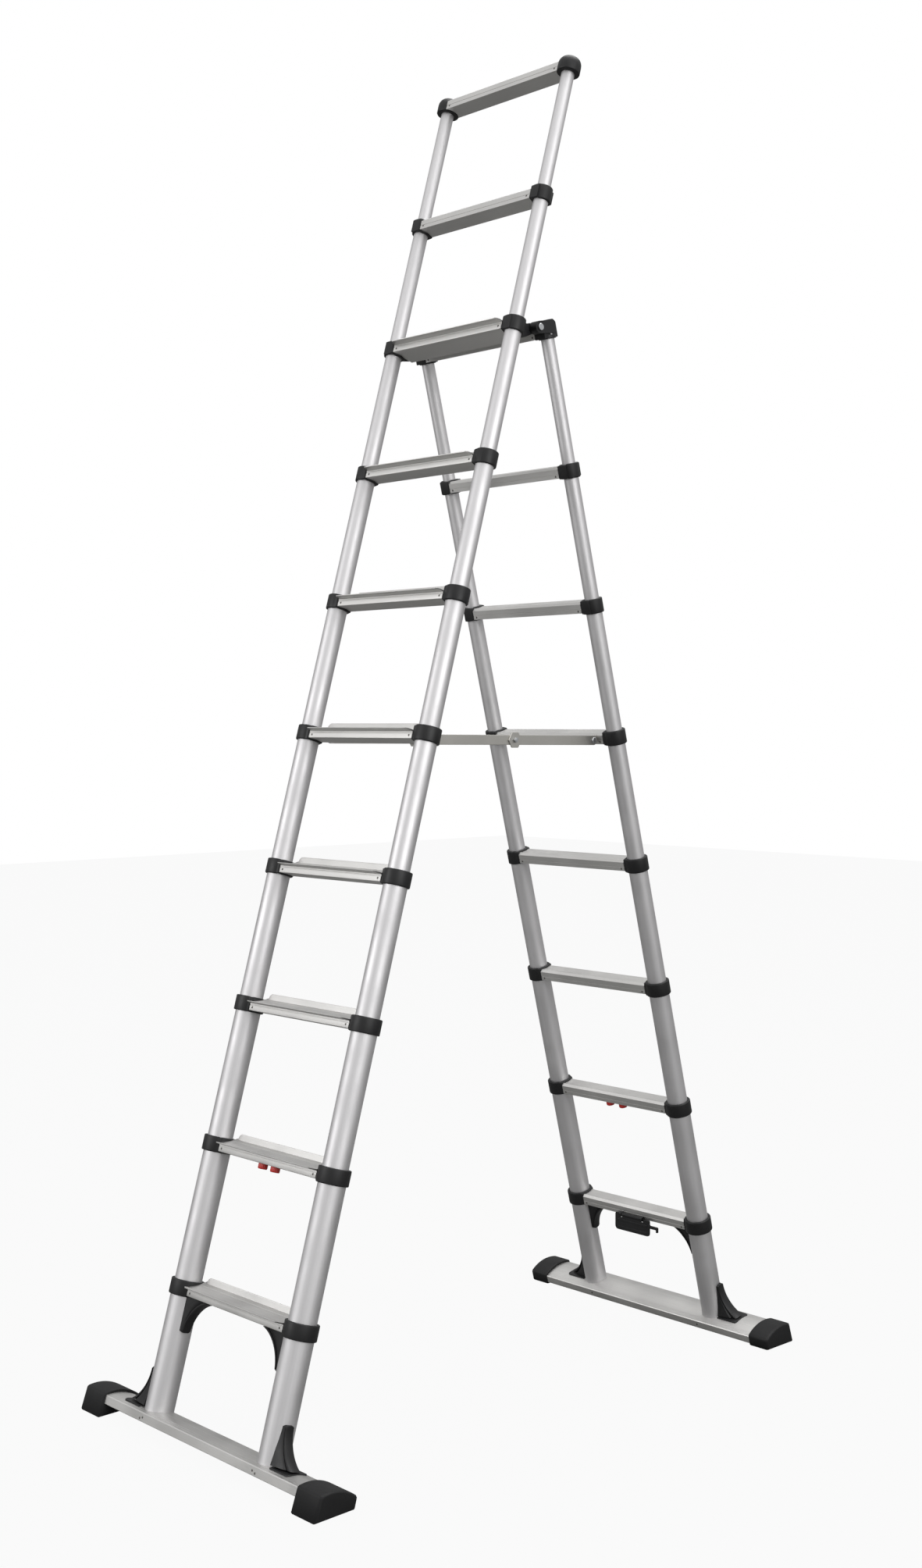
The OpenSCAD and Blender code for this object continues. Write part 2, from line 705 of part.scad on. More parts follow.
// Two lugs and a pin under the first rear rung, on which the latch swings
module latch_bracket() {
    for (x = [-latch_lug_x - latch_lug_t, latch_lug_x]) difference() {
        union() {
            translate([x, latch_y, latch_z - latch_barrel_d / 2])
                cube([latch_lug_t, -rung_depth / 2 - fit - latch_y, latch_barrel_d]);
            translate([0, latch_y, latch_z]) x_rod(x, latch_lug_t, latch_barrel_d);
        }
        translate([0, latch_y, latch_z]) x_rod(x - 1, latch_lug_t + 2, latch_pin_d + 2 * fit);
    }
    translate([0, latch_y, latch_z])
        x_rod(-latch_lug_x - latch_lug_t, 2 * (latch_lug_x + latch_lug_t), latch_pin_d);
}

// Latch plate that hangs from the pin, with a stiffening ridge and a hook at its right end
module transport_latch() {
    barrel = 2 * (latch_lug_x - gap);
    left = latch_shift - latch_length / 2;
    right = latch_shift + latch_length / 2;
    color(dark) on_rear(rear_s(1)) translate([0, latch_y, latch_z]) rotate([-rear_lean, 0, 0]) difference() {
        union() {
            x_rod(-latch_lug_x + gap, barrel, latch_barrel_d - 1);
            translate([-latch_lug_x + gap, -latch_t / 2, -8]) cube([barrel, latch_t, 8 + latch_rise]);
            translate([left, -latch_t / 2, -latch_drop]) cube([latch_length, latch_t, latch_drop - 7]);
            translate([left + 4, -latch_t / 2 - 1.5, -16]) cube([latch_length - 8, latch_t, 6]);
            translate([right - 1, -latch_t / 2, -22]) cube([latch_hook + 1, latch_t, 8]);
            translate([right + latch_hook - 6, -latch_t / 2, -27]) cube([6, latch_t, 8]);
        }
        x_rod(-latch_length, 2 * latch_length, latch_pin_d + 2 * running_fit);
    }
}

front_tubes(1);  // front_stiles_1
front_tubes(2);  // front_stiles_2
front_tubes(3);  // front_stiles_3
front_tubes(4);  // front_stiles_4
front_tubes(5);  // front_stiles_5
front_tubes(6);  // front_stiles_6
front_tubes(7);  // front_stiles_7
front_tubes(8);  // front_stiles_8
front_tubes(9);  // front_stiles_9
front_tubes(10);  // front_stiles_10
front_rung(1);  // front_tread_1
front_rung(2);  // front_tread_2
front_rung(3);  // front_tread_3
front_rung(4);  // front_tread_4
front_rung(5);  // front_tread_5
front_rung(6);  // front_tread_6
front_rung(7);  // front_tread_7
front_rung(8);  // platform_tread
front_rung(9);  // front_rung_9
front_rung(10);  // top_rung
front_collars(1);  // front_collars_1
front_collars(2);  // front_collars_2
front_collars(3);  // front_collars_3
front_collars(4);  // front_collars_4
front_collars(5);  // front_collars_5
front_collars(6);  // front_collars_6
front_collars(7);  // front_collars_7
front_collars(8);  // front_collars_8
front_collars(9);  // front_collars_9
front_top_caps();
rear_frame(1);  // rear_frame_1
rear_frame(2);  // rear_frame_2
rear_frame(3);  // rear_frame_3
rear_frame(4);  // rear_frame_4
rear_frame(5);  // rear_frame_5
rear_frame(6);  // rear_frame_6
rear_frame(7);  // rear_frame_7
rear_frame(8);  // rear_frame_8
rear_collars(1);  // rear_collars_1
rear_collars(2);  // rear_collars_2
rear_collars(3);  // rear_collars_3
rear_collars(4);  // rear_collars_4
rear_collars(5);  // rear_collars_5
rear_collars(6);  // rear_collars_6
rear_collars(7);  // rear_collars_7
rear_top_caps();
front_base_bar();
front_feet();
front_braces();
rear_base_bar();
rear_feet();
rear_braces();
hinge_brackets();
spreader_front_arms();
spreader_rear_arms();
front_release_left();
front_release_right();
rear_release_left();
rear_release_right();
transport_latch();
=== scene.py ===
from collections import namedtuple
from math import acos, atan2, copysign, cos, hypot, pi, radians, sin, sqrt, tan

import bpy
import numpy as np
from bpy.props import FloatProperty, FloatVectorProperty, IntProperty, PointerProperty
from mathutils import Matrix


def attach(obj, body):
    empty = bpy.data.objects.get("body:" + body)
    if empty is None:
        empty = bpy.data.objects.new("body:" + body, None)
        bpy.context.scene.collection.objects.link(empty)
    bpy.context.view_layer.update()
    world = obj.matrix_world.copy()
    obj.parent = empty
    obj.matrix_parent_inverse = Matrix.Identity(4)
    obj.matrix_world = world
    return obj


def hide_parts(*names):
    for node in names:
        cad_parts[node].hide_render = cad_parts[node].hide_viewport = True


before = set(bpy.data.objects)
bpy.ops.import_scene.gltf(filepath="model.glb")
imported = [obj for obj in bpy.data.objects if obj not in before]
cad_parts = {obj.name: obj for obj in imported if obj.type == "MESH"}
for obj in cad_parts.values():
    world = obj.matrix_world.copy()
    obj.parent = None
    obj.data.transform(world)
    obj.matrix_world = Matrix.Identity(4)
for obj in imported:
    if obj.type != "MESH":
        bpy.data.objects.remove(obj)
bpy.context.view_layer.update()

bl_info = {
    "name": "Telescoping A-frame ladder",
    "version": (1, 0, 0),
    "blender": (4, 5, 0),
    "location": "3D View > Sidebar > Ladder",
    "description": "Builds the visible pieces of a telescoping A-frame ladder around its packed frame",
    "category": "Add Mesh",
}


def linear(hex_colour):
    """sRGB hex to linear RGBA: c/12.92 below 0.04045, else ((c + 0.055) / 1.055) ** 2.4."""
    c = [int(hex_colour[i:i + 2], 16) / 255 for i in (1, 3, 5)]
    return tuple(v / 12.92 if v <= 0.04045 else ((v + 0.055) / 1.055) ** 2.4 for v in c) + (1.0,)


def mm(description, default):
    """A length property in millimetres."""
    return FloatProperty(name=description, description=description + ", mm", default=default, min=0.0)


def colour(description, hex_colour):
    """A colour property, given as sRGB hex and held as linear values."""
    return FloatVectorProperty(name=description, description=description, subtype="COLOR", size=4,
                               min=0.0, max=1.0, default=linear(hex_colour))


class LadderSizes(bpy.types.PropertyGroup):
    """Sizes of the ladder, the same as the frame's own"""
    front_lean: FloatProperty(name="Front lean", description="Front ladder's lean, degrees", default=16.1)
    rear_lean: FloatProperty(name="Rear lean", description="Rear ladder's lean, degrees", default=14.5)
    front_count: IntProperty(name="Front rungs", description="Rungs of the front ladder", default=10)
    rear_count: IntProperty(name="Rear rungs", description="Rungs of the rear ladder", default=8)
    rung_pitch: mm("Distance between two rungs", 295)
    first_rung: mm("First front rung, up the stile", 286)
    stile_spacing: mm("Distance between the stile axes", 376)
    base_tube_d: mm("Outer diameter of the lowest front tube", 60)
    tube_wall: mm("Wall of a tube", 1.5)
    tube_step: mm("Difference between two tube diameters", 3.5)
    tube_overlap: mm("Length of a tube inside the one below", 26)
    collar_h: mm("Height of a collar", 32)
    collar_wall: mm("Wall of a collar", 4.5)
    boss_depth: mm("Depth of the boss beside a collar", 45)
    boss_h: mm("Height of that boss", 29)
    rung_depth: mm("Depth of a rung", 40)
    rung_h: mm("Height of a rung", 25)
    front_lip: mm("Reach of a tread's front lip", 16)
    back_lip: mm("Height of a tread's back lip", 12)
    platform_extra: mm("Extra depth of the platform tread", 19)
    groove_pitch: mm("Distance between two grip grooves", 3.2)
    front_base_w: mm("Width of the front base", 780)
    rear_base_w: mm("Width of the rear base", 754)
    bar_depth: mm("Depth of a base bar", 84)
    bar_s: mm("Underside of a bar, up the stile", 14.5)
    bar_side_h: mm("Side face of a bar", 18)
    bar_crown: mm("Rise of a bar's arched top", 8)
    front_foot_length: mm("Length of a front foot", 70)
    rear_foot_length: mm("Length of a rear foot", 54)
    gusset_h: mm("Height of a corner gusset", 76)
    brace_length: mm("Length of a rung brace", 70)
    hinge_offset: mm("Hinge pin behind the front stile", 56.8)
    hinge_rise: mm("Hinge pin above the front rung's middle", 19.5)
    hinge_rear_offset: mm("Hinge pin in front of the rear stile", 33.4)
    hinge_rear_rise: mm("Hinge pin above the rear rung's middle", 10.7)
    hinge_pin_d: mm("Diameter of a hinge pin", 10)
    arm_h: mm("Height of a spreader arm", 21)
    arm_t: mm("Thickness of a spreader arm", 4)
    spreader_offset: mm("Spreader pivot from the stile axis", 33)
    button_d: mm("Diameter of a release button", 20)


class LadderFinishes(bpy.types.PropertyGroup):
    """Colours of the ladder's finishes"""
    aluminium: colour("Satin anodised aluminium", "#C6C5C6")
    extrusion: colour("Extruded aluminium of the rungs and bars", "#CCCBC9")
    nylon: colour("Black moulded nylon", "#0C0C0D")
    rubber: colour("Black rubber of the feet", "#0A0A0B")
    powder: colour("Black powder coat", "#0D0D0F")
    release_red: colour("Red release buttons", "#A3221C")
    # rivet colour: part dull steel, part painted shade, since it is darkened to stand in for the shade round
    # the heads
    zinc: colour("Zinc plated steel", "#B4B6B8")
    rivet: colour("Rivet steel, darkened with painted shade", "#5C5A57")
    flat_bar: colour("Satin flat bar of the spreader", "#B9B7B2")
    floor: colour("Studio floor", "#686867")


def sizes():
    """The ladder's sizes, as the scene holds them."""
    return bpy.context.scene.ladder_sizes


# ---- fixed sizes, in millimetres

HINGE_RUNG = 8          # the hinge is on the eighth front rung
SPREADER_RUNG = 5       # the spreader joins the two fifth rungs
RUNG_GAP = 1.0          # from a tube to the flat end of its rung
SEAT = 0.1              # between two pieces that are seated on each other
TUBE_RISE = 12          # from the middle of a rung to the end of its tube
BAR_WALL = 2.8          # a bar's wall below a tube's foot
CAP_R = 25.0            # radius of a front cap
REAR_EAR, FRONT_EAR, FRONT_ARM = 145.0, 149.3, 153.6    # inner faces of the spreader's layers, along X
LATCH_Y, LATCH_Z = -25.5, -10.0                         # the latch's pin, from the middle of its rung

Side = namedtuple("Side", "key frame rung_s tube_d count base_w foot_length lean inward")


# ---- places

def turn(a, p):
    """A point (y, z) turned by a radians: (y cos a - z sin a, y sin a + z cos a)."""
    return np.array([p[0] * cos(a) - p[1] * sin(a), p[0] * sin(a) + p[1] * cos(a)])


def tilted(angle, y0, z0=0.0, s=0.0):
    """A map of points: Z is raised by s, then Y and Z are turned by angle about X and moved to (y0, z0)."""
    c, k = cos(angle), sin(angle)
    return lambda p: np.stack([p[..., 0], y0 + p[..., 1] * c - (p[..., 2] + s) * k,
                               z0 + p[..., 1] * k + (p[..., 2] + s) * c], -1)


class Stance:
    """Where the stiles, rungs and pivots stand, worked out from the sizes as the frame does. sides holds
    the front and the rear ladder, and inward is the sign of Y that points from each to the other."""

    def __init__(self):
        z = sizes()
        self.z = z
        self.fl, self.rl = radians(z.front_lean), radians(z.rear_lean)
        self.stile_x = z.stile_spacing / 2
        top = turn(-self.fl, (0, self.front_s(HINGE_RUNG))) + turn(-self.fl, (z.hinge_offset, z.hinge_rise))
        rear_top = top + turn(self.rl, (z.hinge_rear_offset, -z.hinge_rear_rise))
        self.rear_first = rear_top[1] / cos(self.rl) - (z.rear_count - 1) * z.rung_pitch
        spread = rear_top[0] + rear_top[1] * tan(self.rl)
        self.front_y, self.rear_y = -spread / 2, spread / 2
        self.tube_foot = z.bar_s + BAR_WALL
        self.bar_top = z.bar_s + z.bar_side_h + z.bar_crown
        self.sides = (
            Side("front", self.front, self.front_s, self.front_d, z.front_count, z.front_base_w,
                 z.front_foot_length, self.fl, 1),
            Side("rear", self.rear, self.rear_s, self.rear_d, z.rear_count, z.rear_base_w,
                 z.rear_foot_length, self.rl, -1))

    def front_s(self, n):
        """Way up the front stile to the middle of rung n."""
        return self.z.first_rung + (n - 1) * self.z.rung_pitch

    def rear_s(self, n):
        """Way up the rear stile to the middle of rung n."""
        return self.rear_first + (n - 1) * self.z.rung_pitch

    def front_d(self, n):
        """Tube diameter of front section n, one step less than that of the section below."""
        return self.z.base_tube_d - (n - 1) * self.z.tube_step

    def rear_d(self, n):
        """Tube diameter of rear section n, which is that of the front section two above it."""
        return self.front_d(n + 2)

    def rung_x(self, d):
        """Distance from the middle plane to the flat end of the rung between two tubes."""
        return self.stile_x - d / 2 - RUNG_GAP

    def front(self, s):
        """Maps local points to the front ladder: Z up the stile from s, Y square to it."""
        return tilted(-self.fl, self.front_y, s=s)

    def rear(self, s):
        """Maps local points to the rear ladder, in the same way."""
        return tilted(self.rl, self.rear_y, s=s)

    def crown(self, y):
        """Height of a bar's arched top at depth y, on a circle: top - r + sqrt(r^2 - y^2)."""
        r = (self.z.bar_depth ** 2 / 4 + self.z.bar_crown ** 2) / (2 * self.z.bar_crown)
        return self.bar_top - r + np.sqrt(r * r - y * y)


# ---- surfaces

SMOOTH_ANGLE = 32       # degrees, past which an edge is sharp

class Shell:
    """Gathers grids of points into one closed mesh."""

    def __init__(self):
        self.points, self.faces, self.count = [], [], 0

    def grid(self, rings, place=None, close=False):
        """rings is (m, n, 3): n points round each of m rings. Quad (i, j) joins ring i to ring i + 1
        between points j and j + 1, taken round. close joins last to first; else the ends are capped."""
        if place is not None:
            rings = place(rings)
        m, n = rings.shape[:2]
        i, j = np.meshgrid(np.arange(m if close else m - 1), np.arange(n), indexing="ij")
        a, b = i * n + j, i * n + (j + 1) % n
        c, d = ((i + 1) % m) * n + (j + 1) % n, ((i + 1) % m) * n + j
        faces = (np.stack([a, b, c, d], -1).reshape(-1, 4) + self.count).tolist()
        if not close:
            faces.append((np.arange(n)[::-1] + self.count).tolist())
            faces.append((np.arange(n) + (m - 1) * n + self.count).tolist())
        points = rings.reshape(-1, 3)
        if volume(points, faces, self.count) < 0:
            faces = [f[::-1] for f in faces]
        self.points.append(points)
        self.faces += faces
        self.count += m * n

    def both(self, rings, place, close=False):
        """The grid on the right side and its mirror image on the left."""
        self.grid(rings, place, close=close)
        self.grid(rings * np.array([-1, 1, 1]), place, close=close)

    def mesh(self, name):
        """The gathered grids as a mesh in metres."""
        me = bpy.data.meshes.new(name)
        me.from_pydata((np.concatenate(self.points) / 1000).tolist(), [], self.faces)
        return me

    def make(self, name, finish, body, slot, nodes=(), bevel=0.0, angle=SMOOTH_ANGLE):
        """The finished piece: smooth up to angle degrees, bevel millimetres taken off its sharp edges, on
        its body, and standing for the frame's nodes."""
        me = self.mesh(name)
        me.update()
        me.polygons.foreach_set("use_smooth", [True] * len(me.polygons))
        me.set_sharp_from_angle(angle=radians(angle))
        me.materials.append(FINISH[finish])
        ob = bpy.data.objects.new(name, me)
        bpy.context.scene.collection.objects.link(ob)
        if bevel > 0:
            mod = ob.modifiers.new("edge", "BEVEL")
            mod.width, mod.segments, mod.limit_method = bevel / 1000, 2, "ANGLE"
            mod.angle_limit = radians(40)
        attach(ob, body)
        if nodes:
            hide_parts(*nodes)
        return ob


def pocket(ob, cutter):
    """Cuts the closed grids gathered in cutter out of a finished piece."""
    tool = bpy.data.objects.new("cutter", cutter.mesh("cutter"))
    bpy.context.scene.collection.objects.link(tool)
    mod = ob.modifiers.new("pocket", "BOOLEAN")
    mod.operation, mod.solver, mod.object = "DIFFERENCE", "EXACT", tool
    bpy.context.view_layer.update()
    done = bpy.data.meshes.new_from_object(ob.evaluated_get(bpy.context.evaluated_depsgraph_get()))
    ob.modifiers.remove(mod)
    ob.data = done
    done.set_sharp_from_angle(angle=radians(SMOOTH_ANGLE))
    bpy.data.objects.remove(tool)


def volume(points, faces, offset):
    """Signed volume: the sum over each face's fan of p0 . (p1 x p2) / 6."""
    quads = np.array([f for f in faces if len(f) == 4]) - offset
    total = 0.0
    if len(quads):
        a, b, c, d = (points[quads[:, k]] for k in range(4))
        total += np.einsum("ij,ij->", a, np.cross(b, c)) + np.einsum("ij,ij->", a, np.cross(c, d))
    for f in faces:
        if len(f) != 4:
            p = points[np.array(f) - offset]
            total += np.einsum("j,ij->", p[0], np.cross(p[1:-1], p[2:]))
    return total / 6


def rounded(corners, radii, steps=6):
    """Closed outline with each corner replaced by an arc: the arc's centre lies on the bisector, and its
    ends lie r / tan(half angle) from the corner along both sides."""
    p = np.asarray(corners, float)
    r = np.broadcast_to(np.asarray(radii, float), len(p))
    out = []
    for k in range(len(p)):
        a, b, c = p[k - 1], p[k], p[(k + 1) % len(p)]
        u, v = (a - b) / np.linalg.norm(a - b), (c - b) / np.linalg.norm(c - b)
        half = acos(max(-1, min(1, float(u @ v)))) / 2
        if r[k] <= 0 or half > 1.5:
            out.append(b[None])
            continue
        cut = min(r[k] / tan(half), 0.49 * np.linalg.norm(a - b), 0.49 * np.linalg.norm(c - b))
        rad = cut * tan(half)
        bis = (u + v) / np.linalg.norm(u + v)
        o = b + bis * rad / sin(half)
        s, e = b + u * cut - o, b + v * cut - o
        a0 = atan2(s[1], s[0])
        da = (atan2(e[1], e[0]) - a0 + pi) % (2 * pi) - pi
        t = a0 + da * np.linspace(0, 1, steps)
        out.append(o + rad * np.stack([np.cos(t), np.sin(t)], -1))
    return np.concatenate(out)


def along_x(outline, x0, x1):
    """Prism: the (y, z) outline at x0 and x1, where either may be a number or one value per point."""
    o = np.asarray(outline, float)
    return np.stack([np.stack([np.broadcast_to(np.asarray(x, float), len(o)), o[:, 0], o[:, 1]], -1)
                     for x in (x0, x1)])


def along_y(outline, y0, y1):
    """Prism: the (x, z) outline at y0 and y1."""
    return np.stack([np.stack([outline[:, 0], np.full(len(outline), y), outline[:, 1]], -1)
                     for y in (y0, y1)])


def once_round(n):
    """n even angles round a circle, from 0."""
    return np.linspace(0, 2 * pi, n, endpoint=False)


def arc(y, z, r, start, end, n):
    """Points (y + r cos t, z + r sin t) for n angles t from start to end."""
    t = np.linspace(start, end, n)
    return np.stack([y + r * np.cos(t), z + r * np.sin(t)], -1)


def outline_rings(x, y, a, rings):
    """Rings about the vertical line through (x, y): each is (r, z), with the radius r(a) at angles a."""
    return np.stack([np.stack([x + r * np.cos(a), y + r * np.sin(a), np.full(len(a), float(z))], -1)
                     for r, z in rings])


def lathe(profile, centre, n=72):
    """Surface of revolution: (r, z) turned about the vertical line through centre, n points round."""
    pr = np.asarray(profile, float)
    t = once_round(n)
    r, z = pr[:, :1], pr[:, 1:2]
    return np.stack([centre[0] + r * np.cos(t), centre[1] + r * np.sin(t), z + 0 * t + centre[2]], -1)


def rod_x(profile, centre, n=48):
    """Surface of revolution about the X line through centre: (x, r) pairs."""
    pr = np.asarray(profile, float)
    t = once_round(n)
    x, r = pr[:, :1], pr[:, 1:2]
    return np.stack([centre[0] + x + 0 * t, centre[1] + r * np.cos(t), centre[2] + r * np.sin(t)], -1)


def turned_rod(shell, place, y, z, x0, x1, r, edge=0.6, n=40):
    """A round bar along X from x0 to x1 with softened ends, on both sides. Six points make it a hexagon."""
    hub = r * 0.55
    prof = [(x0, hub), (x0, r - edge), (x0 + edge, r), (x1 - edge, r), (x1, r - edge), (x1, hub)]
    shell.both(rod_x(prof, (0, y, z), n), place)


# ---- materials

def add(tree, kind, settings=(), links=()):
    """Adds one node: settings are (name, value) on it or its inputs, links are (input, output socket)."""
    nd = tree.nodes.new(kind)
    for key, value in dict(settings).items():
        if isinstance(key, int) or key in nd.inputs:
            nd.inputs[key].default_value = value
        else:
            setattr(nd, key, value)
    for key, socket in dict(links).items():
        tree.links.new(socket, nd.inputs[key])
    return nd


def blank(name):
    """A new material and its empty node tree."""
    m = bpy.data.materials.new(name)
    m.use_nodes = True
    m.node_tree.nodes.clear()
    return m, m.node_tree


def scaled(base, k):
    """A linear colour made k times as bright, and opaque."""
    return tuple(min(1, c * k) for c in base[:3]) + (1,)


def skin(t, base, second, shade, cloud, roughness, height, bump, depth, metallic, gloss=0.5):
    """Ends a material: base turns to second with the pattern shade, cloud spreads the roughness a little
    round its value, and height gives a relief of depth metres, bump strong."""
    tone = add(t, "ShaderNodeMix", {"data_type": "RGBA", 6: base, 7: second}, {0: shade})
    rough = add(t, "ShaderNodeMapRange", {"From Min": 0.3, "From Max": 0.7, "To Min": roughness[0],
                                          "To Max": roughness[1]}, {"Value": cloud})
    relief = add(t, "ShaderNodeBump", {"Strength": bump, "Distance": depth}, {"Height": height})
    lit = add(t, "ShaderNodeBsdfPrincipled", {"Metallic": metallic, "Specular IOR Level": gloss},
              {"Base Color": tone.outputs[2], "Roughness": rough.outputs["Result"],
               "Normal": relief.outputs["Normal"]})
    add(t, "ShaderNodeOutputMaterial", {}, {"Surface": lit.outputs["BSDF"]})


def drawn_metal(name, base, lean, along, roughness, line_mm):
    """Satin anodised aluminium, drawn or extruded: fine lines run along the profile, so the gloss is
    broken across it. Lines are drawn 2 to 3 mm apart, coarser than the real 0.3 mm, so that they show.
    A line is some 260 mm long and a tenth darker, and clouds of 90 mm vary the gloss."""
    line_length, cloud_mm, darker = 260, 90, 0.10
    m, t = blank(name)
    co = add(t, "ShaderNodeTexCoord")
    turned = add(t, "ShaderNodeMapping", {"Rotation": (lean, 0, 0)}, {"Vector": co.outputs["Object"]})
    long, fine = 1000 / line_length, 1000 / line_mm
    scale = (long, fine, fine) if along == "x" else (fine, fine, long)
    lines = add(t, "ShaderNodeMapping", {"Scale": scale}, {"Vector": turned.outputs["Vector"]})
    streak = add(t, "ShaderNodeTexNoise", {"Scale": 1.0, "Detail": 3.0, "Roughness": 0.6},
                 {"Vector": lines.outputs["Vector"]})
    cloud = add(t, "ShaderNodeTexNoise", {"Scale": 1000 / cloud_mm, "Detail": 3.0},
                {"Vector": co.outputs["Object"]})
    skin(t, base, scaled(base, 1 - darker), streak.outputs["Fac"], cloud.outputs["Fac"],
         (roughness - 0.05, roughness + 0.07), streak.outputs["Fac"], 0.06, 0.0004, 1.0)
    return m


def grained(name, base, roughness, grit_mm, bump, lift=1.6, metallic=0.0, gloss=0.5):
    """A moulded, coated or plated surface with a fine even grain: the grain breaks the gloss, and clouds
    of 40 mm lift the tone up to lift times. grit_mm is the size of one grain, gloss the specular level."""
    cloud_mm = 40
    m, t = blank(name)
    co = add(t, "ShaderNodeTexCoord")
    grit = add(t, "ShaderNodeTexNoise", {"Scale": 1000 / grit_mm, "Detail": 2.0},
               {"Vector": co.outputs["Object"]})
    cloud = add(t, "ShaderNodeTexNoise", {"Scale": 1000 / cloud_mm, "Detail": 4.0},
                {"Vector": co.outputs["Object"]})
    skin(t, base, scaled(base, lift), cloud.outputs["Fac"], cloud.outputs["Fac"],
         (roughness - 0.06, roughness + 0.08), grit.outputs["Fac"], bump, 0.0003, metallic, gloss)
    return m


FINISH = {}


def finishes(st):
    """The metals, plastics and rubber, each under the name that the pieces ask for it by."""
    c, fl, rl = bpy.context.scene.ladder_finishes, st.fl, st.rl
    FINISH.update(
        # satin tubes: a broad soft highlight down each one, with lines along it
        front_tube=drawn_metal("anodised_aluminium_front_tube", c.aluminium, fl, "z", 0.54, 3.0),
        rear_tube=drawn_metal("anodised_aluminium_rear_tube", c.aluminium, -rl, "z", 0.54, 3.0),
        # mill-finish extrusions: brighter and sharper than the tubes, with lines from side to side
        rung=drawn_metal("extruded_aluminium_rung", c.extrusion, fl, "x", 0.40, 2.2),
        rear_rung=drawn_metal("extruded_aluminium_rear_rung", c.extrusion, -rl, "x", 0.40, 2.2),
        flat_bar=drawn_metal("satin_flat_bar", c.flat_bar, 0.0, "x", 0.42, 2.5),
        # nylon, rubber and powder coat: near black, with a dull grained gloss
        nylon=grained("moulded_black_nylon", c.nylon, 0.46, 0.9, 0.25, gloss=0.32),
        rubber=grained("black_rubber", c.rubber, 0.60, 1.2, 0.35, gloss=0.28),
        powder=grained("black_powder_coat", c.powder, 0.45, 0.7, 0.2, gloss=0.34),
        # smooth red plastic: a clear highlight
        red=grained("red_moulded_plastic", c.release_red, 0.34, 1.5, 0.05, lift=1.15),
        # plated and plain steel: an even metal shine; the rivets are dull steel, darkened further as painted
        # shade round their heads
        zinc=grained("zinc_plated_steel", c.zinc, 0.32, 2.0, 0.06, lift=1.0, metallic=1.0),
        rivet=grained("rivet_steel_and_painted_shade", c.rivet, 0.45, 1.0, 0.06, lift=1.1, metallic=1.0),
    )


# ---- pieces

def tubes(st, side, n, node):
    """The pair of tubes of section n, from inside the pair below to just above its rung: the (r, z) profile
    of a wall with softened rims is closed and turned about the stile axis."""
    s0 = st.tube_foot if n == 1 else side.rung_s(n - 1) - st.z.tube_overlap
    s1, r, soft, lip = side.rung_s(n) + TUBE_RISE, side.tube_d(n) / 2, 0.4, 0.3
    bore = r - st.z.tube_wall
    prof = [(r - soft, s0), (r, s0 + soft), (r, s1 - soft), (r - soft, s1), (bore + lip, s1),
            (bore, s1 - lip), (bore, s0 + lip), (bore + lip, s0)]
    sh = Shell()
    sh.both(lathe(prof, (st.stile_x, 0, 0), 80), side.frame(0), close=True)
    sh.make(f"{side.key}_tubes_{n}", f"{side.key}_tube", f"{side.key}_section_{n}", "aluminium", [node])


def end_plug(shell, st, side, n):
    """Plug in the lower end of tube n: a flange of the tube's own diameter and a sleeve inside it."""
    d, s = side.tube_d(n), side.rung_s(n - 1) - st.z.tube_overlap
    r, sleeve, hole = d / 2, d / 2 - st.z.tube_wall - SEAT, d / 6
    flange, length, soft = 3, 40, 0.3
    prof = [(hole, s - flange), (r - soft, s - flange), (r, s - flange + soft), (r, s), (sleeve, s),
            (sleeve, s + length), (hole, s + length)]
    shell.both(lathe(prof, (st.stile_x, 0, 0), 48), side.frame(0), close=True)


def collar_radius(st, d, angle):
    """Distance from the stile axis to the collar's outline at an angle, where 0 points outward: the larger
    of the ring's radius and the way to the boss's box, whose corners are rounded by the 8-norm of the ways
    to its sides. Outward of the axis the box counts only where |sin| > 0.92."""
    ring = d / 2 + st.z.collar_wall
    half, wide = st.z.boss_depth / 2, d / 2 + RUNG_GAP
    c, k = np.cos(angle), np.sin(angle)
    way = (np.abs(c / wide) ** 8 + np.abs(k / half) ** 8) ** (-1 / 8)
    return np.maximum(ring, np.where((c < 0) | (np.abs(k) > 0.92), way, 0))


def collar(shell, st, place, d, bore_d):
    """Ring and boss in one: rings of the outline at falling inset give a rounded top and bottom edge. The
    top 6 mm of the bore fit the next tube."""
    edge, grip, chamfer = 2.2, 6, 1.0
    h, drop = st.z.collar_h / 2, (st.z.collar_h - st.z.boss_h) / 2
    a = once_round(144)
    full, ring = collar_radius(st, d, a), d / 2 + st.z.collar_wall
    low = [(full - edge * (1 - sin(t)), edge * (1 - cos(t)) - h)
           for t in np.linspace(0, pi / 2, 5)]
    high = [(r, -z) for r, z in low[::-1]]
    seat, bore = d / 2 + 0.05, bore_d / 2 + 0.3
    pts = outline_rings(st.stile_x, 0, a, [(seat, -h)] + low + high + [
        (bore + chamfer, h), (bore, h - chamfer), (bore, h - grip), (seat, h - grip)])
    boss = np.clip((full - ring) / 4, 0, 1)
    pts[..., 2] -= np.where(pts[..., 2] > 0, drop, -drop) * boss
    shell.both(pts, place, close=True)


